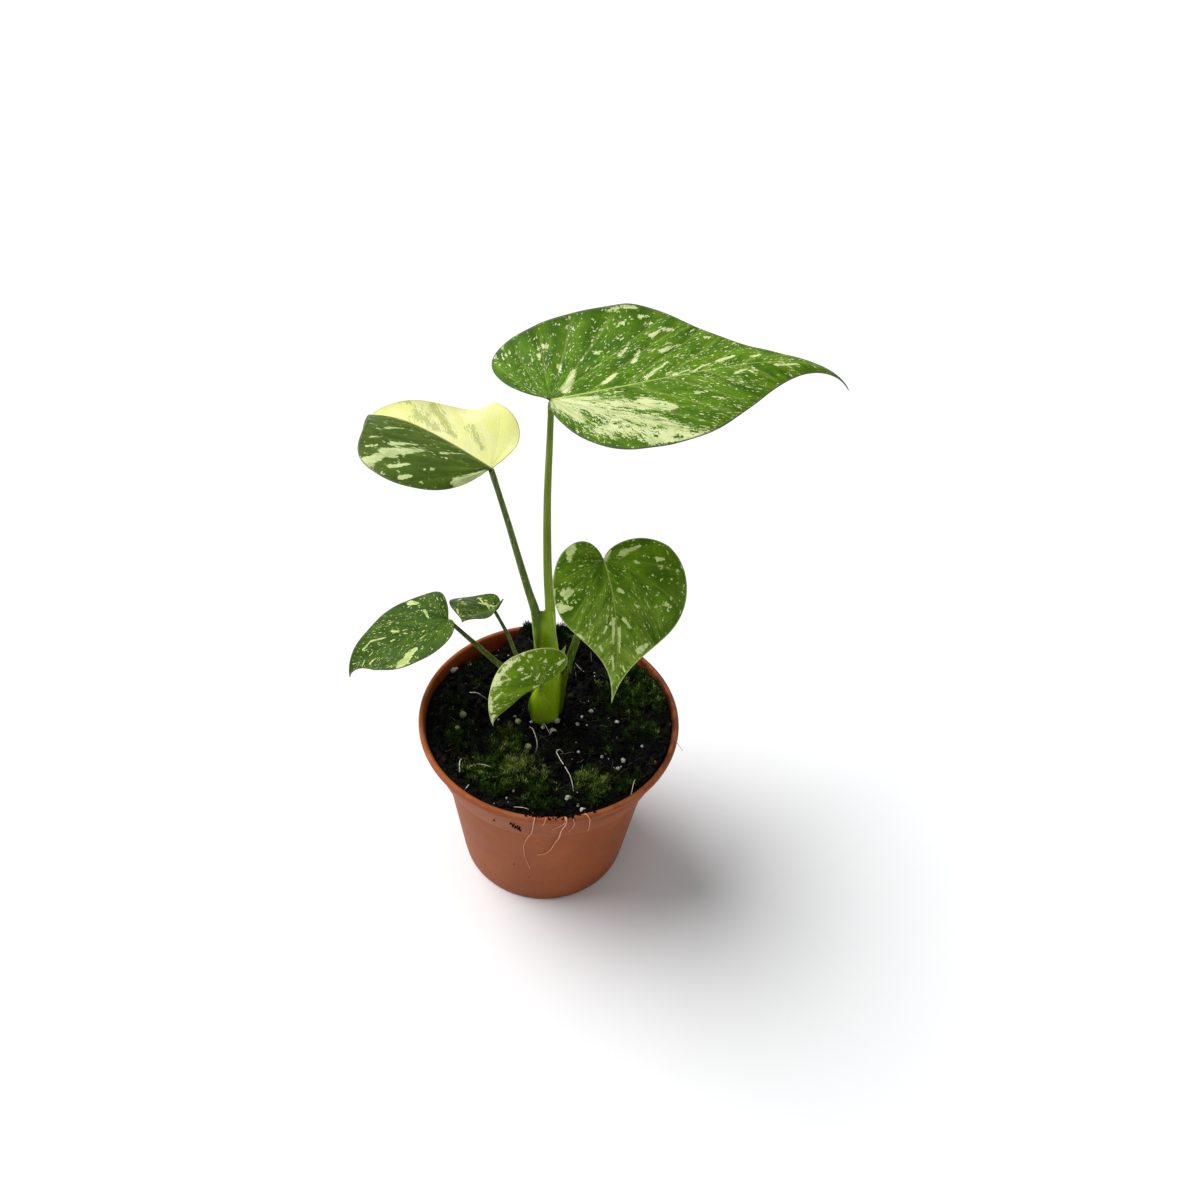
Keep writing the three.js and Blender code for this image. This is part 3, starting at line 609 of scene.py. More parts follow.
def moss_stuff():
    material, place = new_material("moss")
    fresh = read(place.tree, "fresh")
    colour = blend(fade(fresh, 0.1, 0.55), (13, 26, 5), (56, 86, 16))
    colour = blend(fade(fresh, 0.6, 1.05), colour, (168, 180, 98))
    patchy = fade(grain(place, 240, 3), 0.35, 0.7)
    colour = blend(patchy * 0.35, colour, (30, 30, 10))
    return finished(material, colour, patchy * 0.2 + 0.6, grain(place, 2600, 2), 0.0001, 0.6, specular=0.15)


def moss_shoot(foot, fresh):
    """The points, faces and tones of one shoot, five points and four triangles to a leaf."""
    points, faces, tones = [], [], []
    lean = Vector((chance.normal(0, 0.5), chance.normal(0, 0.5), 1)).normalized()
    tall = chance.uniform(2.2, 5)
    leaves = int(chance.integers(14, 22))
    young = min(1, max(0, fresh + chance.normal(0, 0.3)))
    for leaf in range(leaves):
        up = leaf / leaves
        turn = leaf * 2.4 + chance.uniform(-0.4, 0.4)
        out = Vector(at(1, turn, 0.5 + 1.2 * up)).normalized()
        across = out.cross(lean).normalized() * chance.uniform(0.11, 0.2)
        base = foot + lean * (tall * up)
        long = chance.uniform(2.4, 4.8) * (1 - 0.4 * up)
        droop = Vector((0, 0, -0.25 * long * (1 - up)))
        middle = base + out * (long * 0.45)
        start = len(points)
        points += [base, middle + across, base + out * long + droop, middle - across, middle + lean * -0.12]
        faces += [(start, start + 1, start + 4), (start + 4, start + 1, start + 2)]
        faces += [(start, start + 4, start + 3), (start + 4, start + 2, start + 3)]
        tone = young * (0.45 + 0.55 * up)
        tones += [tone * 0.8, tone, tone + 0.1, tone, tone]
    return points, faces, tones


shoots = []
for patch_x, patch_y, spread, count, fresh in MOSS_PATCHES:
    for _ in range(count):
        x, y = patch_x + chance.normal(0, spread * 0.5), patch_y + chance.normal(0, spread * 0.5)
        foot = Vector(on_mix(*kept_within(x, y, MOSS_REACH), -MOSS_DEPTH))
        shoots.append(moss_shoot(foot, fresh))
points, faces, _ = joined(shoots)
moss = new_piece("moss", points, faces, moss_stuff())
store(moss, "fresh", np.concatenate([shoot_tones for _, _, shoot_tones in shoots]))
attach(moss, "root")

# Roots and fibres. White feeding roots that have come up out of the mix, thin tan roots that hang
# over the lip and down the pot, and short dead fibres of peat and coir strewn over the top.
FIBRE_COUNT = 170
FIBRE_REACH = 54
FIBRE_STEPS = 5
# Each root is its radius and the knots of its line: on the mix (x, y), and over the lip the
# direction in degrees, the height, and how far it stands clear of the pot.
SURFACE_ROOTS = [
    (0.25, [
        (6.8, -17.2), (5.2, -17.9), (3.9, -19.6), (5.2, -23.5), (8.4, -30.5), (10.7, -37.5), (12.6, -46.6),
    ]),
    (0.19, [(-9, -2.2), (-7.3, -8.4), (-5, -16.9), (-5.9, -18.8)]),
    (0.2, [(-4.4, -0.7), (-2.4, -2.8), (1, -6.8)]),
    (0.24, [(-38, -25.5), (-38.4, -31), (-37.7, -36.8)]),
    (0.22, [(-36.2, -30.1), (-30, -31.8), (-25, -32.9), (-20.7, -31.5)]),
    (0.24, [(-38.6, 16), (-34.5, 12.9), (-29.7, 12.5)]),
    (0.16, [(10.6, 37.4), (16.8, 32.5)]),
    (0.22, [(39.8, -32.9), (38, -38), (36.8, -43.3)]),
    (0.2, [(-34.7, -44.4), (-32.2, -39.8)]),
    (0.16, [(-16, -52), (-8, -54.2), (-4, -55.6)]),
    (0.14, [(16, -36), (20, -42), (21, -46)]),
    (0.16, [(-30, -38), (-22, -37), (-17, -40)]),
]
HANGING_ROOTS = [
    (0.34, [
        (-84, 88.5, -3.2), (-82, 91.8, -1.4), (-81.2, 92.4, -0.6), (-81.4, 90.5, 0.5), (-82.6, 80, 1.0),
        (-83, 72, 1.2), (-84.4, 60, 0.8), (-86.5, 53, 0.5), (-90, 49.2, 0.35), (-93, 48, 0.3),
    ]),
    (0.24, [
        (-94.5, 89, -3), (-94, 92.2, -1.2), (-94.2, 91.6, 0.4), (-95.6, 76, 0.9), (-98.6, 63, 0.7),
        (-100.5, 55, 0.5), (-99.8, 44, 0.4), (-97.3, 33.4, 0.3),
    ]),
    (0.26, [
        (-75, 89, -3), (-73, 92.3, -1.2), (-72, 91.4, 0.5), (-70.6, 84, 0.9), (-69.4, 76, 0.5),
        (-69.2, 72, 0.3),
    ]),
    (0.2, [(-82, 89.5, -3), (-81.4, 92.3, -1), (-82, 91, 0.5), (-84, 84, 0.7), (-86.5, 80.5, 0.5)]),
    (0.18, [(-79, 90, -3), (-78.6, 92.2, -1), (-78.2, 90.6, 0.4), (-77.6, 82, 0.6), (-79, 76, 0.4)]),
    (0.18, [(-89, 90, -3), (-89.4, 92.2, -1), (-90.2, 90.4, 0.5), (-91, 85, 0.5)]),
    (0.16, [(-12, 88.4, -3.5), (-14, 92.1, -1), (-15.6, 92.6, 0.8), (-17.2, 91, 3.6)]),
]


def smooth_path(knots, count, first=0, last=None):
    """Points along the smooth line through the knots, from one knot number to another."""
    knots = [Vector(k) for k in knots]
    last = len(knots) - 1 if last is None else last
    knots = [2 * knots[0] - knots[1], *knots, 2 * knots[-1] - knots[-2]]
    path = []
    for step in range(count + 1):
        place = first + (last - first) * step / count
        low = min(int(place), len(knots) - 4)
        t = place - low
        a, b, c, d = knots[low:low + 4]
        before, here, after = [(p - q).length ** 0.5 for p, q in ((b, a), (c, b), (d, c))]
        leave = ((b - a) / before - (c - a) / (before + here) + (c - b) / here) * here
        arrive = ((c - b) / here - (d - b) / (here + after) + (d - c) / after) * here
        bend = (3 * (c - b) - 2 * leave - arrive) * t**2 + (2 * (b - c) + leave + arrive) * t**3
        path.append(b + leave * t + bend)
    return path


def tube(path, radii, sides):
    """A closed round tube along the path, with one radius for each of its points."""
    turns = [2 * math.pi * side / sides for side in range(sides)]
    rings = []
    across = Vector((1, 0, 0))
    for k, centre in enumerate(path):
        along = (path[min(k + 1, len(path) - 1)] - path[max(k - 1, 0)]).normalized()
        if abs(across.dot(along)) > 0.95:
            across = Vector((0, 1, 0))
        across = (across - across.dot(along) * along).normalized()
        other = along.cross(across)
        rings.append([centre + (across * math.cos(a) + other * math.sin(a)) * radii[k] for a in turns])
    return closed(rings, path[0], path[-1])


def root_stuff():
    material, place = new_material("roots and fibres")
    tone = read(place.tree, "tone")
    colour = blend(fade(tone, 0, 0.45), (34, 30, 19), (136, 128, 98))
    colour = blend(fade(tone, 0.46, 0.54), colour, (228, 160, 116))
    colour = blend(fade(tone, 0.6, 0.9), colour, (226, 222, 204))
    dirt = fade(grain(place, 520, 3), 0.5, 0.72)
    colour = blend(dirt * 0.45, colour, (92, 66, 42))
    return finished(material, colour, dirt * 0.3 + 0.5, grain(place, 2400, 2), 0.00008, 0.6)


threads = []
for radius, knots in SURFACE_ROOTS:
    ends = (0, len(knots) - 1)
    lifted = [on_mix(x, y, radius + (-0.4 if k in ends else 2.8)) for k, (x, y) in enumerate(knots)]
    path = smooth_path(lifted, 8 * (len(knots) - 1))
    path = [Vector((x, y, max(z, lumpy_height(x, y) + radius))) for x, y, z in path]
    radii = radius * (1 - 0.5 * np.linspace(0, 1, len(path)) ** 2)
    threads.append((*tube(path, radii, 7), 1.0 if radius > 0.23 else 0.8))
for radius, knots in HANGING_ROOTS:
    spots = []
    for degrees, height, clear in knots:
        reach = RIM_RADIUS if clear <= -0.9 and height >= 92 else outer_radius(height)
        spots.append(at(reach + clear, math.radians(degrees), height))
    path = smooth_path(spots, 7 * (len(spots) - 1))
    radii = radius * (1 - 0.55 * np.linspace(0, 1, len(path)))
    threads.append((*tube(path, radii, 6), 0.55 if knots[0][0] < -60 else 0.1))
for _ in range(FIBRE_COUNT):
    x, y = spot_within(FIBRE_REACH)
    aim, bend = chance.uniform(0, 6.3), chance.normal(0, 0.5)
    stride = chance.uniform(2.5, 8) / FIBRE_STEPS
    path = []
    for step in range(FIBRE_STEPS + 1):
        path.append(Vector(on_mix(x, y, 0.25 + 0.5 * math.sin(step * 0.6) * chance.random())))
        aim += bend / FIBRE_STEPS
        x, y = kept_within(x + stride * math.cos(aim), y + stride * math.sin(aim), FIBRE_REACH + 1)
    radii = [chance.uniform(0.06, 0.16)] * len(path)
    threads.append((*tube(path, radii, 4), chance.random() ** 2.2 * 0.44))
points, faces, tones = joined(threads)
roots = new_piece("roots_and_fibres", points, faces, root_stuff())
store(roots, "tone", tones)
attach(roots, "root")

# Crown. The short fleshy stem that the whole plant grows from, with the foot of every leaf stalk
# wrapped round it as a sheath. It is one living piece, bright yellow-green, smooth, and rooted in
# the mix. One old sheath ends in a dry point, and a groove parts the sheaths of the tallest leaves.
SOIL_LINE = 84
CROWN_GRAIN = 0.55
STEM_PATH = [
    (-3, 6.8, 66), (-2.8, 6.6, 83), (-2.1, 6.2, 94), (-2.1, 5.2, 108), (-2.3, 4.4, 122), (-3.8, 3, 139),
    (-5, 2.1, 149), (-5.4, 1.7, 153),
]
STEM_RADII = [5.5, 5.8, 5.6, 5.4, 5.2, 4.8, 3.2, 1]
OLD_SHEATH_PATH = [(0.5, 4.8, 104), (3.2, 4.2, 123), (5.4, 4, 131.5)]
OLD_SHEATH_RADII = [2.6, 1.7, 0.5]
FLARE_PATH = [(-0.7, 3.5, 77), (-0.6, 3.6, 87), (-1, 4.6, 101)]
FLARE_RADII = [5, 4.8, 4]
GROOVE = [(-5, 0.4, 158), (-5.2, 0.4, 149), (-5.5, 0.2, 138), (-5.7, 0, 124)]
# Each leaf stalk's path and radii, the number of the knot where it leaves the crown as a sheath,
# and how far short of the leaf its solid ends.
STALKS = {
    "upper_right": {
        "path": [
            (-2.2, 4.4, 116), (-1.6, 3, 136), (-2, 2.6, 154), (-3.7, 2.6, 175), (-5, 3.4, 210),
            (-5, 4.2, 237), (-5, 5, 253.5),
        ],
        "radii": [3.2, 2.7, 2.25, 1.8, 1.5, 1.25, 1.1], "sheath": 2.1, "short": 1.85,
    },
    "upper_left": {
        "path": [
            (-4.8, 4, 109), (-6.3, 2.5, 136), (-8, 1.6, 152), (-11.3, 1.2, 165), (-15.6, 0.8, 182.5),
            (-20.3, 0.4, 202), (-26.5, 0, 226),
        ],
        "radii": [3, 2.5, 2, 1.6, 1.4, 1.2, 1.05], "sheath": 2.2, "short": 1.6,
    },
    "heart_front": {
        "path": [
            (3, 7.2, 80), (3.6, 7, 86), (4.2, 7, 92.5), (5.3, 6.6, 108), (7.2, 6.2, 119), (9.6, 5.4, 132),
            (12.3, 4, 147.5), (15, 1.5, 164), (18.5, -3.5, 187),
        ],
        "radii": [2.4, 2.3, 2.2, 2, 2, 1.8, 1.6, 1.4, 1.1], "sheath": 3.4, "short": 1.95,
    },
    "low_left": {
        "path": [
            (-4, 5, 96), (-8, 5.5, 100.8), (-14.5, 7, 105.4), (-22.9, 9.5, 111), (-36.7, 14, 122),
            (-48, 17, 132),
        ],
        "radii": [2.3, 2.1, 1.7, 1.45, 1.1, 0.85], "sheath": 1.2, "short": 1.35,
    },
    "young_back": {
        "path": [
            (-4, 7, 97), (-8.5, 9, 99.7), (-12.9, 15, 104.5), (-17.1, 19, 110.2), (-21.1, 22.5, 118.8),
            (-27.5, 26, 130.5),
        ],
        "radii": [2, 1.7, 1.2, 1, 0.9, 0.7], "sheath": 1.2, "short": 1.2,
    },
    "young_front": {
        "path": [
            (-3.6, 4, 80.5), (-4.4, 3, 86.6), (-5.4, 1, 95), (-5.8, -4.5, 106.5), (-4.6, -9.6, 117),
            (-3.8, -13.6, 123.3), (-5, -16, 126.5),
        ],
        "radii": [4.6, 4.8, 5, 3.2, 1.6, 1.1, 0.8], "sheath": 3.3, "short": 3.5,
    },
}


def smooth_tube(knots, radii, first, last, steps):
    """The path and the radii along part of a smooth line, from one knot number to another."""
    stations = np.linspace(first, last, steps + 1)
    return smooth_path(knots, steps, first, last), np.interp(stations, range(len(radii)), radii)


def plant_skin(given):
    """Fine fibres along a stem, with scattered pale pores: a mask for colour and one for relief."""
    fibres = grain(stretch(given["Place"], (1, 1, 0.06)), given["Fibre Scale"], 3)
    spots = {"Vector": stretch(given["Place"], (1, 1, 0.45)), "Scale": 900.0}
    cells = put(given.tree, "ShaderNodeTexVoronoi", spots)
    chosen = split(cells["Color"], "Color").math("LESS_THAN", given["Pore Share"])
    pores = fade(cells["Distance"], 0.34, 0.16) * chosen
    return {"Fibres": fade(fibres, 0.38, 0.68), "Pores": pores, "Relief": fibres + pores * 0.4}


PLANT_SKIN = new_group("plant skin", {"Place": None, "Fibre Scale": 900.0, "Pore Share": 0.3}, plant_skin)


def mark_stem(piece, rise, deep=0, soil_stain_and_shade=0):
    """Stores how far up each point of a stem is, its painted shade in deep green, and its darkening near the
    soil, partly soil stain and partly painted shade.
    """
    for name, values in (("rise", rise), ("deep", deep), ("soil_stain_and_shade", soil_stain_and_shade)):
        store(piece, name, np.zeros(len(rise)) + values)


def lit_through(material, share, radius, depth):
    """Lets some light into a plant's skin, and gives the material back."""
    inputs = material.node_tree.nodes["Principled BSDF"].inputs
    inputs["Subsurface Weight"].default_value = share
    inputs["Subsurface Radius"].default_value = radius
    inputs["Subsurface Scale"].default_value = depth
    return material


def stem_flesh(name, foot, top, tip, fibre_share):
    """Stalk tissue that turns from one colour at its foot to another at its top."""
    material, place = new_material(name)
    uneven = read(place.tree, "rise") + (grain(place, 110, 3) - 0.5) * 0.5
    colour = blend(fade(uneven, 0.0, 0.55), foot, top)
    colour = blend(fade(uneven, 0.55, 1.0), colour, tip)
    skin = use_group(PLANT_SKIN, place, {"Fibre Scale": 1100.0, "Pore Share": 0.22})
    colour = blend(skin["Fibres"] * fibre_share, colour, (176, 190, 84))
    colour = blend(skin["Pores"] * 0.35, colour, (206, 214, 130))
    # Painted shade, in deep green.
    colour = blend(read(place.tree, "deep"), colour, (50, 76, 4))
    # Darker near the soil: partly soil stain, partly painted shade.
    colour = blend(read(place.tree, "soil_stain_and_shade"), colour, (40, 58, 6))
    roughness = skin["Fibres"] * 0.16 + 0.34
    finished(material, colour, roughness, skin["Relief"], 0.00009, 0.6, specular=0.18)
    return lit_through(material, 0.08, (0.6, 1.0, 0.2), 0.002)


forms = [(STEM_PATH, STEM_RADII, 7, 40, 28), (OLD_SHEATH_PATH, OLD_SHEATH_RADII, 2, 16, 16)]
forms += [(FLARE_PATH, FLARE_RADII, 2, 16, 24)]
forms += [(stalk["path"], stalk["radii"], stalk["sheath"], 24, 24) for stalk in STALKS.values()]
parts = []
for path, radii, last, steps, sides in forms:
    parts.append((*tube(*smooth_tube(path, radii, 0, last, steps), sides), 0))
points, faces, _ = joined(parts)
crown_flesh = stem_flesh("crown flesh", (158, 196, 14), (138, 170, 4), (116, 148, 4), 0.12)
crown = new_piece("crown_stem", points, faces, crown_flesh)
applied(crown, "REMESH", mode="VOXEL", voxel_size=CROWN_GRAIN * MM)
applied(crown, "SMOOTH", factor=0.5, iterations=7)
crown.data.shade_smooth()
crown_places = places_of(crown)
groove = np.array(smooth_path(GROOVE, 40), float)
to_groove = np.linalg.norm(crown_places[:, None] - groove, axis=2).min(1)
crown_places[:, 1] += 0.8 * np.exp(-((to_groove / 1.1) ** 2))
crown.data.vertices.foreach_set("co", (crown_places * MM).ravel())
across, _, height = crown_places.T
# Painted shade in deep green: along the groove, on the left of the stem's top, on the right of the crown low
# down, and on the left of its swollen foot.
deep = [
    0.85 * np.exp(-(((across + 6.6) / 1.7) ** 2)) * np.clip((height - 118) / 10, 0, 1),
    np.clip((-4.8 - across) / 1.2, 0, 1) * np.clip((height - 141) / 6, 0, 0.8),
    np.clip((across - 3.3) / 1.5, 0, 1) * np.clip((119 - height) / 6, 0, 0.85),
    np.clip((-7 - across) / 2.4, 0, 0.8) * np.clip((110 - height) / 8, 0, 1),
]
# Darker toward the soil line, partly as soil stain and partly as painted shade.
soil_stain_and_shade = np.clip((89 - height) / 5, 0, 1) * 0.8
mark_stem(crown, np.clip((height - SOIL_LINE) / 90, 0, 1), np.max(deep, 0), soil_stain_and_shade)
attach(crown, "root")
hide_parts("crown")

# Sheath edges. The free edges of the sheaths, thin, pale and drying, which run down the crown as
# fine raised lines. They are part of the living skin, and lie close on the crown's surface.
SHEATH_EDGES = [
    (0.3, [
        (-4.2, -5, 109.5), (-2.8, -4.6, 106), (-1.8, -1.6, 101.5), (-1.2, 0.5, 98.6), (0, 1.2, 95),
        (0.2, 1.4, 91.5), (-0.4, 0.7, 88.1),
    ]),
    (0.32, [(-10.2, 1.4, 153), (-9.4, 1.5, 147.3), (-8.3, 0.9, 137.3), (-7, 0.4, 131.8), (-5.9, 0.6, 123)]),
    (0.32, [
        (-1.1, 0.7, 154.4), (0.7, 2, 140.4), (2.1, 3.3, 129.5), (2.6, 2.7, 122.6), (3, 2.9, 113.6),
        (3, 1.6, 104),
    ]),
    (0.3, [(5.4, 2.6, 131), (4.6, 2.2, 127), (3.6, 1.6, 121), (2.8, 1, 114)]),
]
EDGE_STEPS = 26

crown_faces = [tuple(f.vertices) for f in crown.data.polygons]
crown_surface = BVHTree.FromPolygons(crown_places.tolist(), crown_faces)
parts = []
for radius, knots in SHEATH_EDGES:
    path = []
    for spot in smooth_path(knots, EDGE_STEPS):
        nearest, outward, _, _ = crown_surface.find_nearest(spot)
        path.append(nearest + outward * 0.12 * radius)
    radii = radius * np.sin(math.pi * (0.06 + 0.88 * np.linspace(0, 1, len(path)))) ** 0.5
    parts.append((*tube(path, radii, 8), 0))
points, faces, _ = joined(parts)
edge_flesh = stem_flesh("pale sheath edge", (176, 196, 74), (200, 214, 120), (216, 224, 154), 0.3)
edges = new_piece("sheath_edges", points, faces, edge_flesh)
mark_stem(edges, np.clip((np.array(points, float)[:, 2] - SOIL_LINE) / 90, 0, 1))
applied(edges, "SUBSURF", levels=1)
edges.data.shade_smooth()
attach(edges, "root")

# Leaf stalks. Six round green petioles, firm and faintly ribbed, yellow-green where they leave the
# sheath, olive higher up, and a little swollen at the knee under the blade.
STALK_SIDES = 20
STALK_STEPS = 60
STALK_OVERLAP = 0.35
KNEE = 0.965
# Each stalk's colour at the foot, in the middle and at the top.
STALK_COLOURS = {
    "upper_right": ((122, 148, 12), (100, 124, 18), (78, 102, 28)),
    "upper_left": ((74, 102, 8), (72, 94, 22), (62, 80, 28)),
    "heart_front": ((52, 76, 6), (66, 90, 10), (98, 122, 30)),
    "low_left": ((88, 104, 26), (78, 90, 30), (68, 80, 34)),
    "young_back": ((150, 160, 60), (104, 116, 50), (72, 86, 44)),
    "young_front": ((154, 190, 14), (112, 134, 32), (108, 130, 38)),
}

for name, stalk in STALKS.items():
    knots, radii = stalk["path"], stalk["radii"]
    last = len(knots) - 1 - (stalk["short"] - STALK_OVERLAP) / math.dist(knots[-1], knots[-2])
    path, widths = smooth_tube(knots, radii, stalk["sheath"] - 0.04, last, STALK_STEPS)
    rise = np.linspace(0, 1, STALK_STEPS + 1)
    widths = widths * (1 + 0.12 * np.exp(-(((rise - KNEE) / 0.03) ** 2)))
    points, faces = tube(path, widths, STALK_SIDES)
    for spot in range(len(points) - 2):
        step, side = divmod(spot, STALK_SIDES)
        turn = 2 * math.pi * side / STALK_SIDES
        dent = 1 - 0.035 * math.cos(5 * turn) - 0.07 * max(0, math.cos(turn + 0.6)) ** 6
        points[spot] = path[step] + (points[spot] - path[step]) * dent
    flesh = stem_flesh(f"stalk flesh {name.replace('_', ' ')}", *STALK_COLOURS[name], 0.22)
    petiole = new_piece(f"stalk_{name}", points, faces, flesh)
    mark_stem(petiole, [*np.repeat(rise, STALK_SIDES), 0, 1])
    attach(petiole, "root")
    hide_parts(f"petiole_{name}")

# Leaf blades. Six heart-shaped leaves of a young variegated Monstera: thin, firm and satiny, with
# the midrib and the arched side veins sunk in the upper face, a thin edge, and cream splashes and
# specks that run out along the veins. The upper left one has a whole half in cream.
CREAM_HALVES = {"upper_left": "right"}
BLADE_THICKNESS = 0.62
EDGE_THICKNESS = 0.34
MIDRIB_REACH = 5.6
MIDRIB_STATIONS = 240
BASE_STATION = 72
LOBE_ROWS = 9
TIP_ROWS = 11
FAN_SHARE = 0.24
VEINS_ALONG = 13
# Each leaf's values in millimetres, degrees and shares of its length, and then its left and its
# right half with theirs. A fold is a pair, and a ruffle is four lifts from the notch to the tip.
LEAF_KEYS = "attach heading pitch roll length widest arch tip_drop sway tip_width rib rows columns left right"
HALF_KEYS = "width lobe sinus back full taper fold curl droop ruffle"
BLADES = {
    "upper_right": [
        (-5, 5, 253.5), 6, 12, -1, 116.5, 0.27, -1, 71, 4, 0.09, 0.9, 150, 52,
        (40, 25.5, 0.57, 1.27, 0.27, 0.6, (1, -15), 33, -26, (-4, 2.7, 3.2, 1)),
        (33, 2, 0.05, 1.14, 0.48, 0.55, (3, -8), -17, 20, (1, -1.5, -2, -2)),
    ],
    "upper_left": [
        (-26.5, 0, 226), 144, 9, 6, 75, 0.29, 17, 82, -1, 0, 0.8, 110, 42,
        (39, 1, 0.14, 1.44, 0.42, 0.59, (9, 24), -22, 42, (-3, 1, -1, 0.5)),
        (27, 1.4, 0.32, 1.6, 0.15, 0.62, (9, 39), -19.6, 9, (3, 5.6, -2.2, 1.9)),
    ],
    "heart_front": [
        (18.5, -3.5, 187), 293, -32, -12, 57, 0.21, 23, 1, -20, 0.09, 0.6, 110, 42,
        (33, 7, 0.05, 1.36, 0.53, 0.61, (14, 2), 0, -10, (2, -0.5, -2, 1.5)),
        (24.5, 11, 0.05, 1.19, 0.49, 0.55, (9, -2), -39, -14, (1.5, 0.5, -0.5, -1.5)),
    ],
    "low_left": [
        (-48, 17, 132), 198, -16, -2, 59, 0.3, 24, 51, -11, 0.03, 0.6, 100, 34,
        (22.5, 4.5, 0.23, 1.18, 0.45, 0.57, (17, 8), -6, -19, (2, 0.5, 2.5, -1.5)),
        (21.5, 4.5, 0.14, 0.96, 0.5, 0.33, (4, 13), 11, -19, (4.5, -4, -3.5, 1)),
    ],
    "young_back": [
        (-27.5, 26, 130.5), 218, 18, 42, 25.5, 0.27, 4, 38, 32, 0.04, 0.3, 70, 28,
        (10.5, 3, 0.05, 1.08, 0.53, 0.24, (13, -18), 9, 4, (2.5, 1, -2.5, -1)),
        (18.5, 8.5, 0.05, 1.31, 0.47, 0.42, (40, 43), -16, 0, (2.5, -1, -1, -1)),
    ],
    "young_front": [
        (-5, -16, 126.5), 203, -13, -19, 31.5, 0.16, 50, 46, 12, 0.04, 0.3, 80, 28,
        (8, 1.5, 0.08, 1.14, 0.4, 0.37, (-112, -80), -10, 8, (0.5, 1.5, 0.5, 0.5)),
        (16.5, 16, 0.12, 1.46, 0.43, 0.37, (54, 44), -34, 13, (1, 1, -1, 0)),
    ],
}
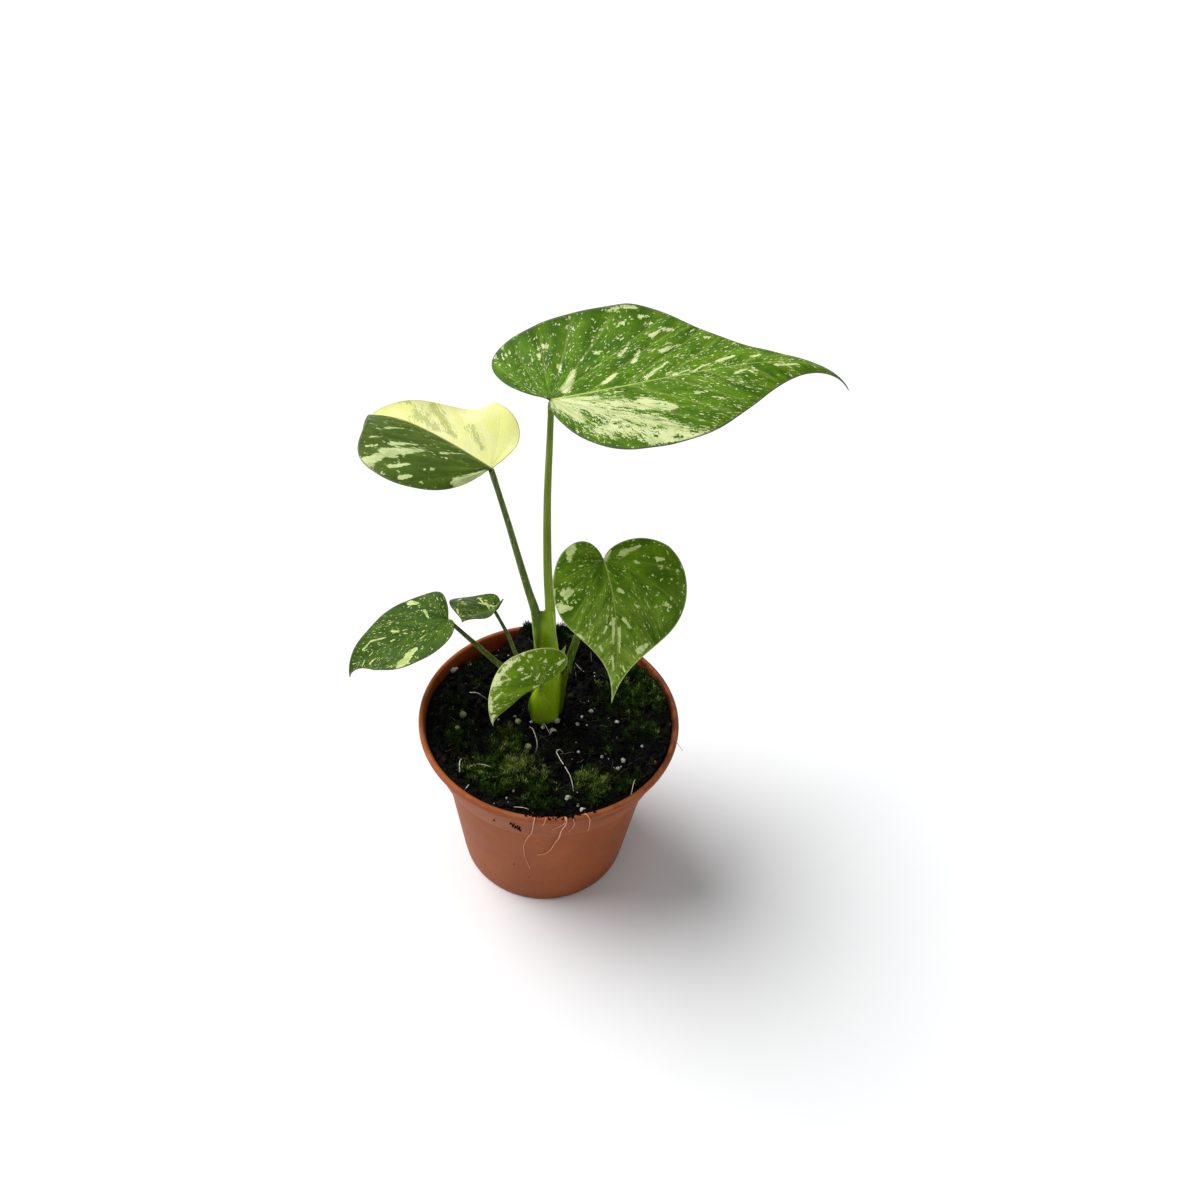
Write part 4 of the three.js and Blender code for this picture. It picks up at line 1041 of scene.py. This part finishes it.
# Cream splashes on the flat blade, in millimetres: from (along, across) to (along, across), half
# width, and strength. Across is positive on the left half. A weak splash breaks up into streaks.
SPLASHES = {
    "upper_right": [
        (5.4, 4.1, 9.7, 14.5, 1.7, 1), (4.5, 18.5, 4.7, 14, 0.7, 1), (0.6, 28.3, 0.9, 27, 0.9, 1),
        (-2.2, 25.2, -2.2, 23, 0.8, 1), (12.8, 33.6, 13.1, 32, 0.8, 1), (20.6, 4.6, 24.7, 8.7, 1.3, 1),
        (31.9, 13.8, 35.2, 18.8, 0.9, 1), (27.2, 18, 31.1, 21.3, 0.7, 1), (34.6, 1.9, 43.8, 9.7, 0.9, 1),
        (42.7, 16.5, 50.6, 19, 0.8, 1), (40.8, 24.7, 45.3, 27.3, 0.9, 1), (46.3, 26.8, 49.4, 26.3, 0.8, 1),
        (28, 38, 31.4, 38.7, 0.9, 1), (33.4, 38.6, 38.3, 37.6, 0.8, 1), (38.2, 34.2, 41.7, 33.6, 0.6, 1),
        (30.4, 32.7, 31.9, 32.6, 0.8, 1), (19.3, 21, 21.2, 21.8, 0.8, 1), (62.1, 5.6, 68, 7.3, 1.0, 1),
        (74.2, 5.1, 77.6, 5.8, 0.7, 1), (65.6, -5, 70.4, -3.4, 0.6, 0.9), (80.9, -2.5, 89.8, -1.4, 0.7, 1),
        (60.3, 19.9, 62.6, 19.6, 0.6, 1), (44.3, 1.1, 51, 2, 0.6, 0.9), (51.4, 0.6, 58.8, 4.9, 0.6, 0.9),
        (2, -3, 16, -5.6, 2.4, 1), (3, -6, 9.2, -17.5, 3.2, 1), (9, -8, 17, -14, 3.4, 0.95),
        (16.5, -9, 40.3, -17.4, 4.2, 0.72), (17.7, -14.8, 42, -27.4, 5, 0.72),
        (14.6, -22, 46.7, -30.6, 3.8, 0.72), (30, -11, 40.7, -16.4, 1.6, 0.95),
        (30, -30.5, 42, -31.5, 1.6, 0.95), (44, -31.5, 54, -29.6, 1.2, 0.9), (50, -12, 52, -12.6, 0.8, 1),
    ],
    "upper_left": [
        (38.7, 15.1, 35.7, 9, 0.7, 1), (37, 24.4, 35.4, 21, 0.7, 1), (33.2, 29.9, 31.4, 27.2, 0.6, 1),
        (26.5, 38, 26.3, 28.3, 3.0, 1), (26.3, 28.3, 20.5, 16.2, 2.8, 0.95),
        (29.3, 21.8, 23.9, 14.4, 1.2, 0.95), (19.2, 32.4, 16.6, 26.4, 1.2, 1),
        (13.3, 33.5, 11.6, 30.2, 1.0, 1), (15, 10.9, 10.9, 1.8, 0.6, 0.9), (1.4, 17.4, -0.6, 3.4, 1.5, 1.3),
        (12.1, 11.6, 12.1, 11, 0.7, 1), (56.2, -5.7, 46.3, -7.2, 1.6, 0.8),
        (41, -4.8, 28.2, -2.4, 3.6, 0.68), (37.9, -10.9, 20.3, -3.2, 3.2, 0.68),
        (19.1, -10.6, 8.6, -4.9, 2.4, 0.66), (44, -14, 36, -17, 1.8, 0.7),
    ],
    "heart_front": [
        (-7.1, -14, -2.7, -15.5, 2.0, 1), (11.5, -19.6, 13.4, -20, 2.2, 1),
        (17.4, -22.6, 18, -18.2, 1.8, 1), (-1.3, 7.7, -2.5, 15.8, 1.0, 1), (12.5, 2.8, 13.8, 4.9, 0.8, 1),
        (23.9, -1.3, 33.4, -2.1, 0.9, 1), (27.8, 0.9, 37.3, 0.9, 0.6, 1), (24.1, 3, 27.6, 5.9, 0.8, 1),
        (35.9, 9.1, 33.7, 12.6, 1.2, 1), (38.9, -2.2, 44.1, -1.2, 0.5, 1), (3, 12.5, 3.9, 14.2, 0.6, 1),
        (3.5, 21.7, 4, 24.8, 0.8, 1), (27.1, -4.8, 29.6, -6.1, 0.6, 1), (34.9, -7.3, 36.9, -6.2, 0.5, 1),
        (29.9, -16.2, 32, -13.4, 0.6, 1), (-0.6, 0.6, -3.2, 3.2, 0.9, 1), (19.2, 22.6, 20.6, 24.8, 0.7, 1),
        (19.3, 9.7, 20, 10.6, 0.5, 1), (25.7, -2.7, 23.8, -0.9, 0.6, 1), (8.6, -23.6, 11.3, -23.8, 0.5, 1),
    ],
    "low_left": [
        (20.9, 18.6, 15.6, 13.4, 2.3, 1.1), (22.6, 20.6, 19, 20.4, 1.4, 1), (41.6, -4.1, 36.5, -6, 0.5, 1),
        (36.5, -6, 28.8, -3.7, 0.5, 1), (39, 5.6, 35.1, 5.2, 0.5, 1), (8.6, -9.7, 7.7, -4.2, 0.7, 0.95),
        (14.6, -18.8, 11.4, -16.4, 1.7, 1), (38.7, 0.6, 36.2, -0.8, 0.4, 1), (12.8, 7.5, 9.6, 5.8, 0.5, 1),
        (25.6, -5.9, 22.9, -4, 0.7, 0.9), (27.1, -0.8, 24.6, -0.8, 0.5, 0.9),
        (11.6, 2.4, 10.4, 1.6, 0.5, 1),
    ],
    "young_back": [
        (-1, -3, 3, -8, 0.9, 1), (-0.5, -13, 1.7, -5.5, 0.5, 1), (16, -7.5, 19.1, -4.4, 0.5, 1),
        (0, -6.7, 2, -1, 0.7, 1), (9, -9, 12, -12, 0.4, 0.9),
    ],
    "young_front": [
        (14.9, -11.6, 8.1, -14, 2.2, 0.8), (8.1, -14, 0.7, -15.8, 1.8, 0.74),
        (19.4, -7.1, 23, -2.8, 1.2, 1), (14.7, -11.3, 9, -9, 1.6, 0.72), (4.3, -10.7, 2.7, -10.1, 0.6, 1),
        (-0.8, -13.9, -1.9, -13.2, 0.7, 1), (1.9, -0.4, 0.1, -0.4, 0.8, 1),
        (-11.1, -6.4, -14.4, -7.4, 0.8, 1), (17.9, -5.8, 14, -6.2, 0.6, 1), (5.2, -6.3, 1.2, -6, 0.45, 1),
        (0.1, -3.7, -1.7, -5.3, 0.5, 1), (24, -1, 30, 0, 0.9, 0.9),
    ],
}
# Green, its shade, cream, green toward the tip, midrib, margin, how thickly the specks are sown,
# and how ragged the splashes are.
LEAF_COLOURS = {
    "upper_right": (
        (94, 134, 4), (58, 96, 2), (220, 228, 166), (114, 144, 26), (200, 212, 118), (104, 96, 92), 0.36,
        2.9,
    ),
    "upper_left": (
        (88, 110, 36), (66, 90, 26), (210, 224, 156), (86, 108, 38), (82, 102, 42), (128, 128, 108), 0.12,
        2.3,
    ),
    # The front leaf's pale grey-green toward its tip is painted sheen.
    "heart_front": (
        (102, 138, 20), (68, 102, 8), (212, 226, 150), (164, 188, 76), (168, 190, 88), (176, 188, 134), 0.3,
        2.1,
    ),
    "low_left": (
        (70, 98, 4), (46, 74, 2), (198, 212, 136), (68, 92, 8), (60, 82, 20), (84, 90, 70), 0.3, 1.3,
    ),
    "young_back": (
        (72, 98, 2), (46, 68, 1), (206, 216, 128), (66, 90, 4), (118, 140, 54), (80, 88, 50), 0.24, 1.5,
    ),
    "young_front": (
        (116, 150, 20), (86, 120, 8), (230, 236, 172), (120, 150, 30), (140, 168, 58), (206, 214, 150),
        0.34, 2.2,
    ),
}


def half_outline(leaf, half, share):
    """The flat outline of one half, from the notch round the lobe to the tip."""
    length, width, lobe = leaf["length"], half["width"], half["lobe"]
    widest = leaf["widest"] * length
    rest = length - widest
    notch = (-lobe * half["back"], width * half["sinus"])
    beside_lobe = [(0, 0), notch, (-lobe * 1.2, width), (widest, width)]
    narrow = (length - half["taper"] * rest, width * leaf["tip_width"])
    beside_tip = [(widest, width), (widest + half["full"] * rest, width), narrow, (length, 0)]

    def curve(knots, t):
        a, b, c, d = np.array(knots, float)
        t = np.clip(t, 0, 1)[..., None]
        return (1 - t) ** 3 * a + 3 * (1 - t) ** 2 * t * b + 3 * (1 - t) * t**2 * c + t**3 * d

    row = share * (LOBE_ROWS + TIP_ROWS)
    round_lobe, to_tip = curve(beside_lobe, row / LOBE_ROWS), curve(beside_tip, (row - LOBE_ROWS) / TIP_ROWS)
    return np.where((row <= LOBE_ROWS)[..., None], round_lobe, to_tip)


def midrib_line(leaf):
    """The midrib as a chain of places, each with its forward, left and up directions."""
    heading, pitch, roll = (math.radians(leaf[key]) for key in ("heading", "pitch", "roll"))
    ahead = np.array(at(math.cos(pitch), heading, math.sin(pitch)))
    level = np.cross((0, 0, 1), ahead)
    level = level / np.linalg.norm(level)
    left = level * math.cos(roll) + np.cross(ahead, level) * math.sin(roll)
    up = np.cross(ahead, left)
    share = np.linspace(0, 1, MIDRIB_STATIONS + 1)[:, None]
    bend = np.radians(-(leaf["arch"] * share + leaf["tip_drop"] * share**5))
    swing = np.radians(leaf["sway"] * share)
    bent = ahead * np.cos(bend) + up * np.sin(bend)
    ups = up * np.cos(bend) - ahead * np.sin(bend)
    forwards = bent * np.cos(swing) + left * np.sin(swing)
    lefts = left * np.cos(swing) - bent * np.sin(swing)
    steps = (forwards[1:] + forwards[:-1]) / 2 * leaf["length"] / MIDRIB_STATIONS
    places = np.array(leaf["attach"]) + np.vstack([np.zeros(3), np.cumsum(steps, 0)])
    return places, forwards, lefts, ups


def ruffle_lift(ruffle, share):
    values = np.array([0, *ruffle, 0], float)
    place = np.minimum(share * 5, 4.999)
    low = place.astype(int)
    t = place - low
    a, b, c, d = (values[np.clip(low + k, 0, 5)] for k in (-1, 0, 1, 2))
    return 0.5 * (2 * b + (c - a) * t + (2 * a - 5 * b + 4 * c - d) * t**2 + (3 * b - a - 3 * c + d) * t**3)


def curled(rate, start, distance):
    """How far along and up a strip gets that starts at one angle and bends at a steady rate."""
    if abs(rate) < 1e-6:
        return np.cos(start) * distance, np.sin(start) * distance
    end = start + rate * distance
    return (np.sin(end) - np.sin(start)) / rate, (np.cos(start) - np.cos(end)) / rate


def vein_places(leaf, half, along, across):
    """Which side vein passes a spot, as a distance between veins, and how far out along it.

    Side veins leave the midrib at 45 degrees and arch forward; behind the stalk they fan out."""
    sweep = 0.55 * across**2 / half["width"]
    start = along - across - sweep
    run = np.hypot(across, across + sweep)
    reach = np.hypot(along, across)
    fan = np.arctan2(across, along) - np.radians(45 - 12 * (1 - np.exp(-reach * half["width"] / 920)))
    behind = start < 0
    return np.where(behind, -fan * FAN_SHARE * leaf["length"], 0.65 * start), np.where(behind, reach, run)


def splash_field(splashes, along, across):
    """1 in the middle of a cream splash and 0 well outside it; half way is its usual edge."""
    field = np.zeros_like(along)
    for x0, y0, x1, y1, width, strength in splashes:
        run_x, run_y = x1 - x0, y1 - y0
        t = ((along - x0) * run_x + (across - y0) * run_y) / max(run_x**2 + run_y**2, 1e-6)
        t = np.clip(t, 0, 1)
        distance = np.hypot(along - x0 - t * run_x, across - y0 - t * run_y)
        field = np.maximum(field, strength * (1 - distance / (2 * width * (1.1 - 0.65 * t))))
    return field


def half_blade(name, leaf, side):
    """One half of the upper face: rows along the side veins, columns from midrib to edge."""
    half = dict(zip(HALF_KEYS.split(), leaf[side]))
    length, sign = leaf["length"], 1 if side == "left" else -1
    rows, columns = (np.linspace(0, 1, leaf[key] + 1) for key in ("rows", "columns"))
    share, out = np.meshgrid(rows, columns, indexing="ij")
    outline = half_outline(leaf, half, share)
    root = length * share**1.9
    along = root + (outline[..., 0] - root) * out
    across = outline[..., 1] * out
    station = np.clip(along / length, 0, 1) * MIDRIB_STATIONS
    low = np.minimum(station.astype(int), MIDRIB_STATIONS - 1)
    part = (station - low)[..., None]
    place, forward, left, up = (line[low] * (1 - part) + line[low + 1] * part for line in midrib_line(leaf))
    inner_fold, outer_fold = half["fold"]
    fold = np.radians(inner_fold + (outer_fold - inner_fold) * np.maximum(along, 0) / length)
    back, down = curled(math.radians(half["droop"]) / half["lobe"], 0, np.maximum(-along, 0))
    sideways, rise = curled(math.radians(half["curl"]) / half["width"], fold, across)
    lift = rise - down + ruffle_lift(half["ruffle"], share) * out**2
    points = place - forward * back[..., None] + up * lift[..., None] + left * (sign * sideways)[..., None]
    reach = np.hypot(outline[..., 0] - root, outline[..., 1])
    from_rib, from_edge = reach * out, reach * (1 - out)
    vein, run = vein_places(leaf, half, along, across)
    rib_width = 0.62 * (length / 60) ** 0.5 * (1 - 0.75 * share) + 0.06
    splash = splash_field(SPLASHES[name], along, sign * across)
    cream = np.full_like(share, CREAM_HALVES.get(name) == side)
    return {
        "points": points, "along": along, "across": sign * across, "share": share, "vein": vein,
        "from_rib": from_rib, "from_edge": from_edge,
        "place": np.stack([vein + (0 if side == "left" else 137), run, along], -1),
        "marks": np.stack([splash, vein * VEINS_ALONG / length, from_rib / rib_width], -1),
        "edges": np.stack([from_edge, cream, share], -1),
    }


def vertex_normals(points, faces):
    normals = np.zeros_like(points)
    for face in faces:
        a, b, c = points[face[0]], points[face[1]], points[face[2]]
        flat = np.cross(b - a, c - a)
        if len(face) == 4:
            flat = flat + np.cross(c - a, points[face[3]] - a)
        normals[list(face)] += flat / (math.sqrt(flat @ flat) or 1)
    return normals / np.maximum(np.linalg.norm(normals, axis=1), 1e-9)[:, None]


def blade_relief(name, leaf, pick, sides):
    """How far each point of the upper face stands up, and how strong the midrib is under it."""
    size = leaf["length"] / 60
    rib = np.exp(-((pick["from_rib"] / (1.1 * size**0.5)) ** 2)) * (1 - pick["share"]) ** 0.7
    vein_fade = np.clip(pick["from_edge"] / 5, 0, 1) * np.clip(pick["from_rib"] / 3, 0, 1)
    smoother = np.array([0.25 if CREAM_HALVES.get(name) == side else 1.0 for side in sides])
    swell = np.sin(math.pi * pick["vein"] * VEINS_ALONG / leaf["length"]) ** 2 * vein_fade * smoother
    spots = zip(pick["along"] * 0.09, pick["across"] * 0.09)
    waves = np.array([noise.noise(Vector((a, b, size * 7))) for a, b in spots])
    waves = waves * np.clip(pick["from_rib"] / 6, 0, 1) * 0.45 * size**0.5
    return -0.3 * rib * size**0.5 + 0.3 * swell * size**0.5 + waves, rib


def leaf_mesh(name, leaf):
    """Both faces and the edge of a blade, and what its material reads at each face corner."""
    halves = {side: half_blade(name, leaf, side) for side in ("left", "right")}
    rows, columns = leaf["rows"], leaf["columns"]
    number = np.zeros((rows + 1, 2 * columns + 1), int)
    sources = []
    for row, column in np.ndindex(number.shape):
        single = row in (0, rows)
        if not (single and column):
            side = "left" if column >= columns else "right"
            sources.append((side, row, 0 if single else abs(column - columns)))
        number[row, column] = len(sources) - 1
    keys = ("points", "share", "from_rib", "from_edge", "vein", "along", "across")
    pick = {key: np.array([halves[side][key][row, out] for side, row, out in sources]) for key in keys}
    top = pick["points"]
    faces, face_spots = [], []
    for row, column in np.ndindex(rows, 2 * columns):
        spots = {}
        for spot in ((row, column), (row, column + 1), (row + 1, column + 1), (row + 1, column)):
            spots.setdefault(int(number[spot]), spot)
        if len(spots) > 2:
            faces.append(tuple(spots)[::-1])
            face_spots.append(("left" if column >= columns else "right", list(spots.values())[::-1]))
    normals = vertex_normals(top, faces)
    if normals[number[rows // 2, columns]] @ midrib_line(leaf)[3][BASE_STATION] < 0:
        normals = -normals
    middles = np.array([number[row, columns] for _, row, _ in sources])
    near = np.clip(np.linalg.norm(top - top[middles], axis=1) / MIDRIB_REACH, 0, 1)[:, None]
    inward = normals[middles] * (1 - near) + normals * near
    inward = inward / np.linalg.norm(inward, axis=1)[:, None]
    relief, rib = blade_relief(name, leaf, pick, [side for side, _, _ in sources])
    thin = np.clip(1 - pick["from_edge"] / 2.2, 0, 1) ** 2
    depth = BLADE_THICKNESS - (BLADE_THICKNESS - EDGE_THICKNESS) * thin + leaf["rib"] * rib
    upper = top + normals * relief[:, None]
    under = upper - inward * depth[:, None]
    count = len(top)
    corners = [(side, spot) for side, spots in face_spots for spot in spots]
    corners += [(side, spot) for side, spots in face_spots for spot in spots[::-1]]
    faces += [tuple(count + k for k in face[::-1]) for face in faces]
    edge = [(0, columns)] + [(row, 2 * columns) for row in range(1, rows)]
    edge += [(rows, columns)] + [(row, 0) for row in range(rows - 1, 0, -1)]
    for here, beyond in zip(edge, edge[1:] + edge[:1]):
        a, b = int(number[here]), int(number[beyond])
        side = "left" if min(here[1], beyond[1]) >= columns else "right"
        faces.append((a, b, count + b, count + a))
        corners += [(side, spot) for spot in (here, beyond, beyond, here)]
    values = {}
    for key in ("place", "marks", "edges"):
        values[key] = [
            halves[side][key][row, max(column - columns if side == "left" else columns - column, 0)]
            for side, (row, column) in corners
        ]
    return np.vstack([upper, under]), faces, values, np.repeat((0.0, 1.0), count)


def variegation(given):
    """Cream splashes, flecks and specks that follow the veins, over two greens."""
    place = given["Place"]
    wander = stretch(grain(place, 0.7, 4.0)["Color"], (2.2, 2.2, 0))
    bent = put(given.tree, "ShaderNodeVectorMath", {0: place, 1: wander})
    streaks = grain(stretch(bent, (1.25, 0.22, 0)), 1.0, 6, 0.72)
    splash = fade(given["Splash"] + (streaks - 0.5) * given["Raggedness"], 0.46, 0.52)
    crowded = fade(grain(stretch(place, (0.1, 0.05, 0), (4, 9, 0)), 1.0, 3), 0.34, 0.62)
    torn = grain(stretch(place, (2.4, 0.9, 0)), 1.0, 3) * 0.34 + -0.17

    def dots(spacing, share, largest, smallest):
        spots = {"Vector": stretch(bent, spacing), "Scale": 1.0}
        cells = put(given.tree, "ShaderNodeTexVoronoi", spots, voronoi_dimensions="2D")
        random = split(cells["Color"], "Color")
        reach = random[1] * (largest - smallest) + smallest
        inside = fade(cells["Distance"] + torn - reach, 0.04, -0.04)
        return inside * random.math("LESS_THAN", given["Speck Share"] * (crowded * share + 0.3 * share))

    mask = splash.math("MAXIMUM", dots((1.15, 0.5, 0), 1.5, 0.26, 0.06))
    mask = mask.math("MAXIMUM", dots((0.62, 0.24, 0), 0.8, 0.22, 0.04))
    mask = mask.math("MAXIMUM", dots((0.26, 0.1, 0), 0.3, 0.18, 0.03))
    clouds = fade(grain(stretch(place, (0.16, 0.06, 0)), 1.0, 4, 0.6), 0.32, 0.68)
    green = blend(clouds, given["Shade"], given["Green"])
    glow = fade(grain(stretch(place, (0.22, 0.12, 0), (17, 3, 0)), 1.0, 3), 0.5, 0.72)
    green = blend(glow * 0.55, green, given["Fresh"])
    fine = fade(grain(stretch(place, (1.5, 0.25, 0)), 1.0, 3), 0.35, 0.7)
    green = blend(fine * 0.35, green, given["Shade"])
    veil = fade(grain(stretch(bent, (0.34, 0.07, 0), (31, 7, 0)), 1.0, 4, 0.6), 0.56, 0.68)
    green = blend(veil * 0.07, green, given["Mint"])
    minty = fade(grain(stretch(bent, (0.5, 0.12, 0), (5, 60, 0)), 1.0, 4), 0.44, 0.62)
    cream = blend(minty * 0.6, given["Cream"], given["Mint"])
    return {"Colour": blend(mask, green, cream), "Cream Mask": mask, "Splash Mask": splash}


BLACK = (0, 0, 0, 1)
WHITE = (1, 1, 1, 1)
VARIEGATION = new_group(
    "variegation",
    {
        "Place": None, "Splash": 0.0, "Speck Share": 0.3, "Raggedness": 1.3,
        "Green": BLACK, "Shade": BLACK, "Fresh": BLACK, "Cream": WHITE, "Mint": WHITE,
    },
    variegation,
)


def blade_flesh(name):
    material, place = new_material(f"leaf {name.replace('_', ' ')}", stored=True)
    *colours, specks, ragged = LEAF_COLOURS[name]
    green, shade, cream, tip, rib_colour, margin = (paint(*colour) for colour in colours)
    marks, edges = (split(read(place.tree, key, "Vector")) for key in ("marks", "edges"))
    splash, vein_number, ribs_away = marks[0], marks[1], marks[2]
    from_edge, cream_side, toward_tip = edges[0], edges[1], edges[2]
    under = read(place.tree, "under")
    pattern = use_group(VARIEGATION, place, {
        "Splash": splash, "Speck Share": specks, "Raggedness": ragged,
        "Green": blend(fade(toward_tip, 0.3, 0.95) * 0.8, green, tip), "Shade": shade,
        "Fresh": (*[1.5 * g for g in green[:3]], 1), "Cream": cream,
        "Mint": tuple(0.5 * c + 0.5 * g for c, g in zip(cream, green)),
    })
    colour = pattern["Colour"]
    if name in CREAM_HALVES:
        mellow = fade(grain(stretch(place, (0.12, 0.06, 0)), 1.0, 3), 0.35, 0.65)
        butter = blend(mellow, (238, 238, 146), (240, 240, 172))
        butter = blend(pattern["Splash Mask"] * 0.7, butter, (168, 178, 104))
        colour = blend(cream_side, colour, butter)
    from_vein = ((vein_number + 0.5).math("FRACT") - 0.5).math("ABSOLUTE")
    vein = fade(from_vein, 0.1, 0.01) * fade(from_edge, 1.0, 6.0)
    green_side = 1.0 - cream_side
    colour = blend(vein * green_side * 0.16, colour, rib_colour)
    midrib = fade(ribs_away, 1.0, 0.4) * (toward_tip * -0.8 + 1.0).clamped()
    colour = blend(midrib, colour, rib_colour)
    colour = blend(fade(from_edge, 0.75, 0.15) * (green_side * 0.55 + 0.15), colour, margin)
    colour = blend(under * 0.5, colour, (112, 140, 62))
    satin = grain(stretch(place, (0.5, 0.3, 0)), 1.0, 3) * 0.16 + 0.38
    spots = {"Vector": stretch(place, (1.6, 1.1, 0)), "Scale": 1.0}
    net = put(place.tree, "ShaderNodeTexVoronoi", spots, voronoi_dimensions="2D", feature="DISTANCE_TO_EDGE")
    height = fade(net["Distance"], 0.0, 0.16) * 0.4 + grain(stretch(place, (2.5, 1.6, 0)), 1.0, 3)
    height = height - vein * (green_side * 0.9 + 0.3)
    finished(material, colour, under * 0.25 + satin, height, 0.00014, 0.8, specular=0.12)
    return lit_through(material, 0.06, (0.5, 1.0, 0.15), 0.0012)


for name, row in BLADES.items():
    points, faces, values, under = leaf_mesh(name, dict(zip(LEAF_KEYS.split(), row)))
    blade = new_piece(f"leaf_{name}", points, faces, blade_flesh(name))
    for key, corners in values.items():
        store(blade, key, corners, "FLOAT_VECTOR", "CORNER")
    store(blade, "under", under)
    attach(blade, "root")
    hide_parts(f"blade_{name}")

# Floor and light. A plain white photographer's sweep that reaches past the picture on all sides,
# one large soft lamp high at the back left, and an even white surround.
FLOOR_HALF = 7000
SUN_LIGHT = 3.5
SUN_WIDTH = 54
SUN_HEADING = Vector((0.61, -0.24, -0.77))
SURROUND = 0.34


def floor_paint():
    material, place = new_material("white sweep")
    shader = material.node_tree.nodes["Principled BSDF"]
    colour = blend(fade(grain(place, 6, 3), 0.2, 0.8), (247, 247, 248), (250, 250, 250))
    material.node_tree.links.new(colour.socket, shader.inputs["Base Color"])
    shader.inputs["Roughness"].default_value = 0.9
    shader.inputs["Specular IOR Level"].default_value = 0.1
    return material


corners = [(x * FLOOR_HALF, y * FLOOR_HALF, 0) for x, y in ((-1, -1), (1, -1), (1, 1), (-1, 1))]
floor = new_piece("floor", corners, [(0, 1, 2, 3)], floor_paint())

sun = bpy.data.objects.new("soft_sun", bpy.data.lights.new("soft_sun", "SUN"))
sun.data.energy = SUN_LIGHT
sun.data.angle = math.radians(SUN_WIDTH)
sun.rotation_euler = SUN_HEADING.to_track_quat("-Z", "Y").to_euler()
bpy.context.scene.collection.objects.link(sun)

world = bpy.data.worlds.new("surround")
bpy.context.scene.world = world
world.use_nodes = True
background = world.node_tree.nodes["Background"]
background.inputs["Color"].default_value = (0.95, 0.98, 1, 1)
background.inputs["Strength"].default_value = SURROUND
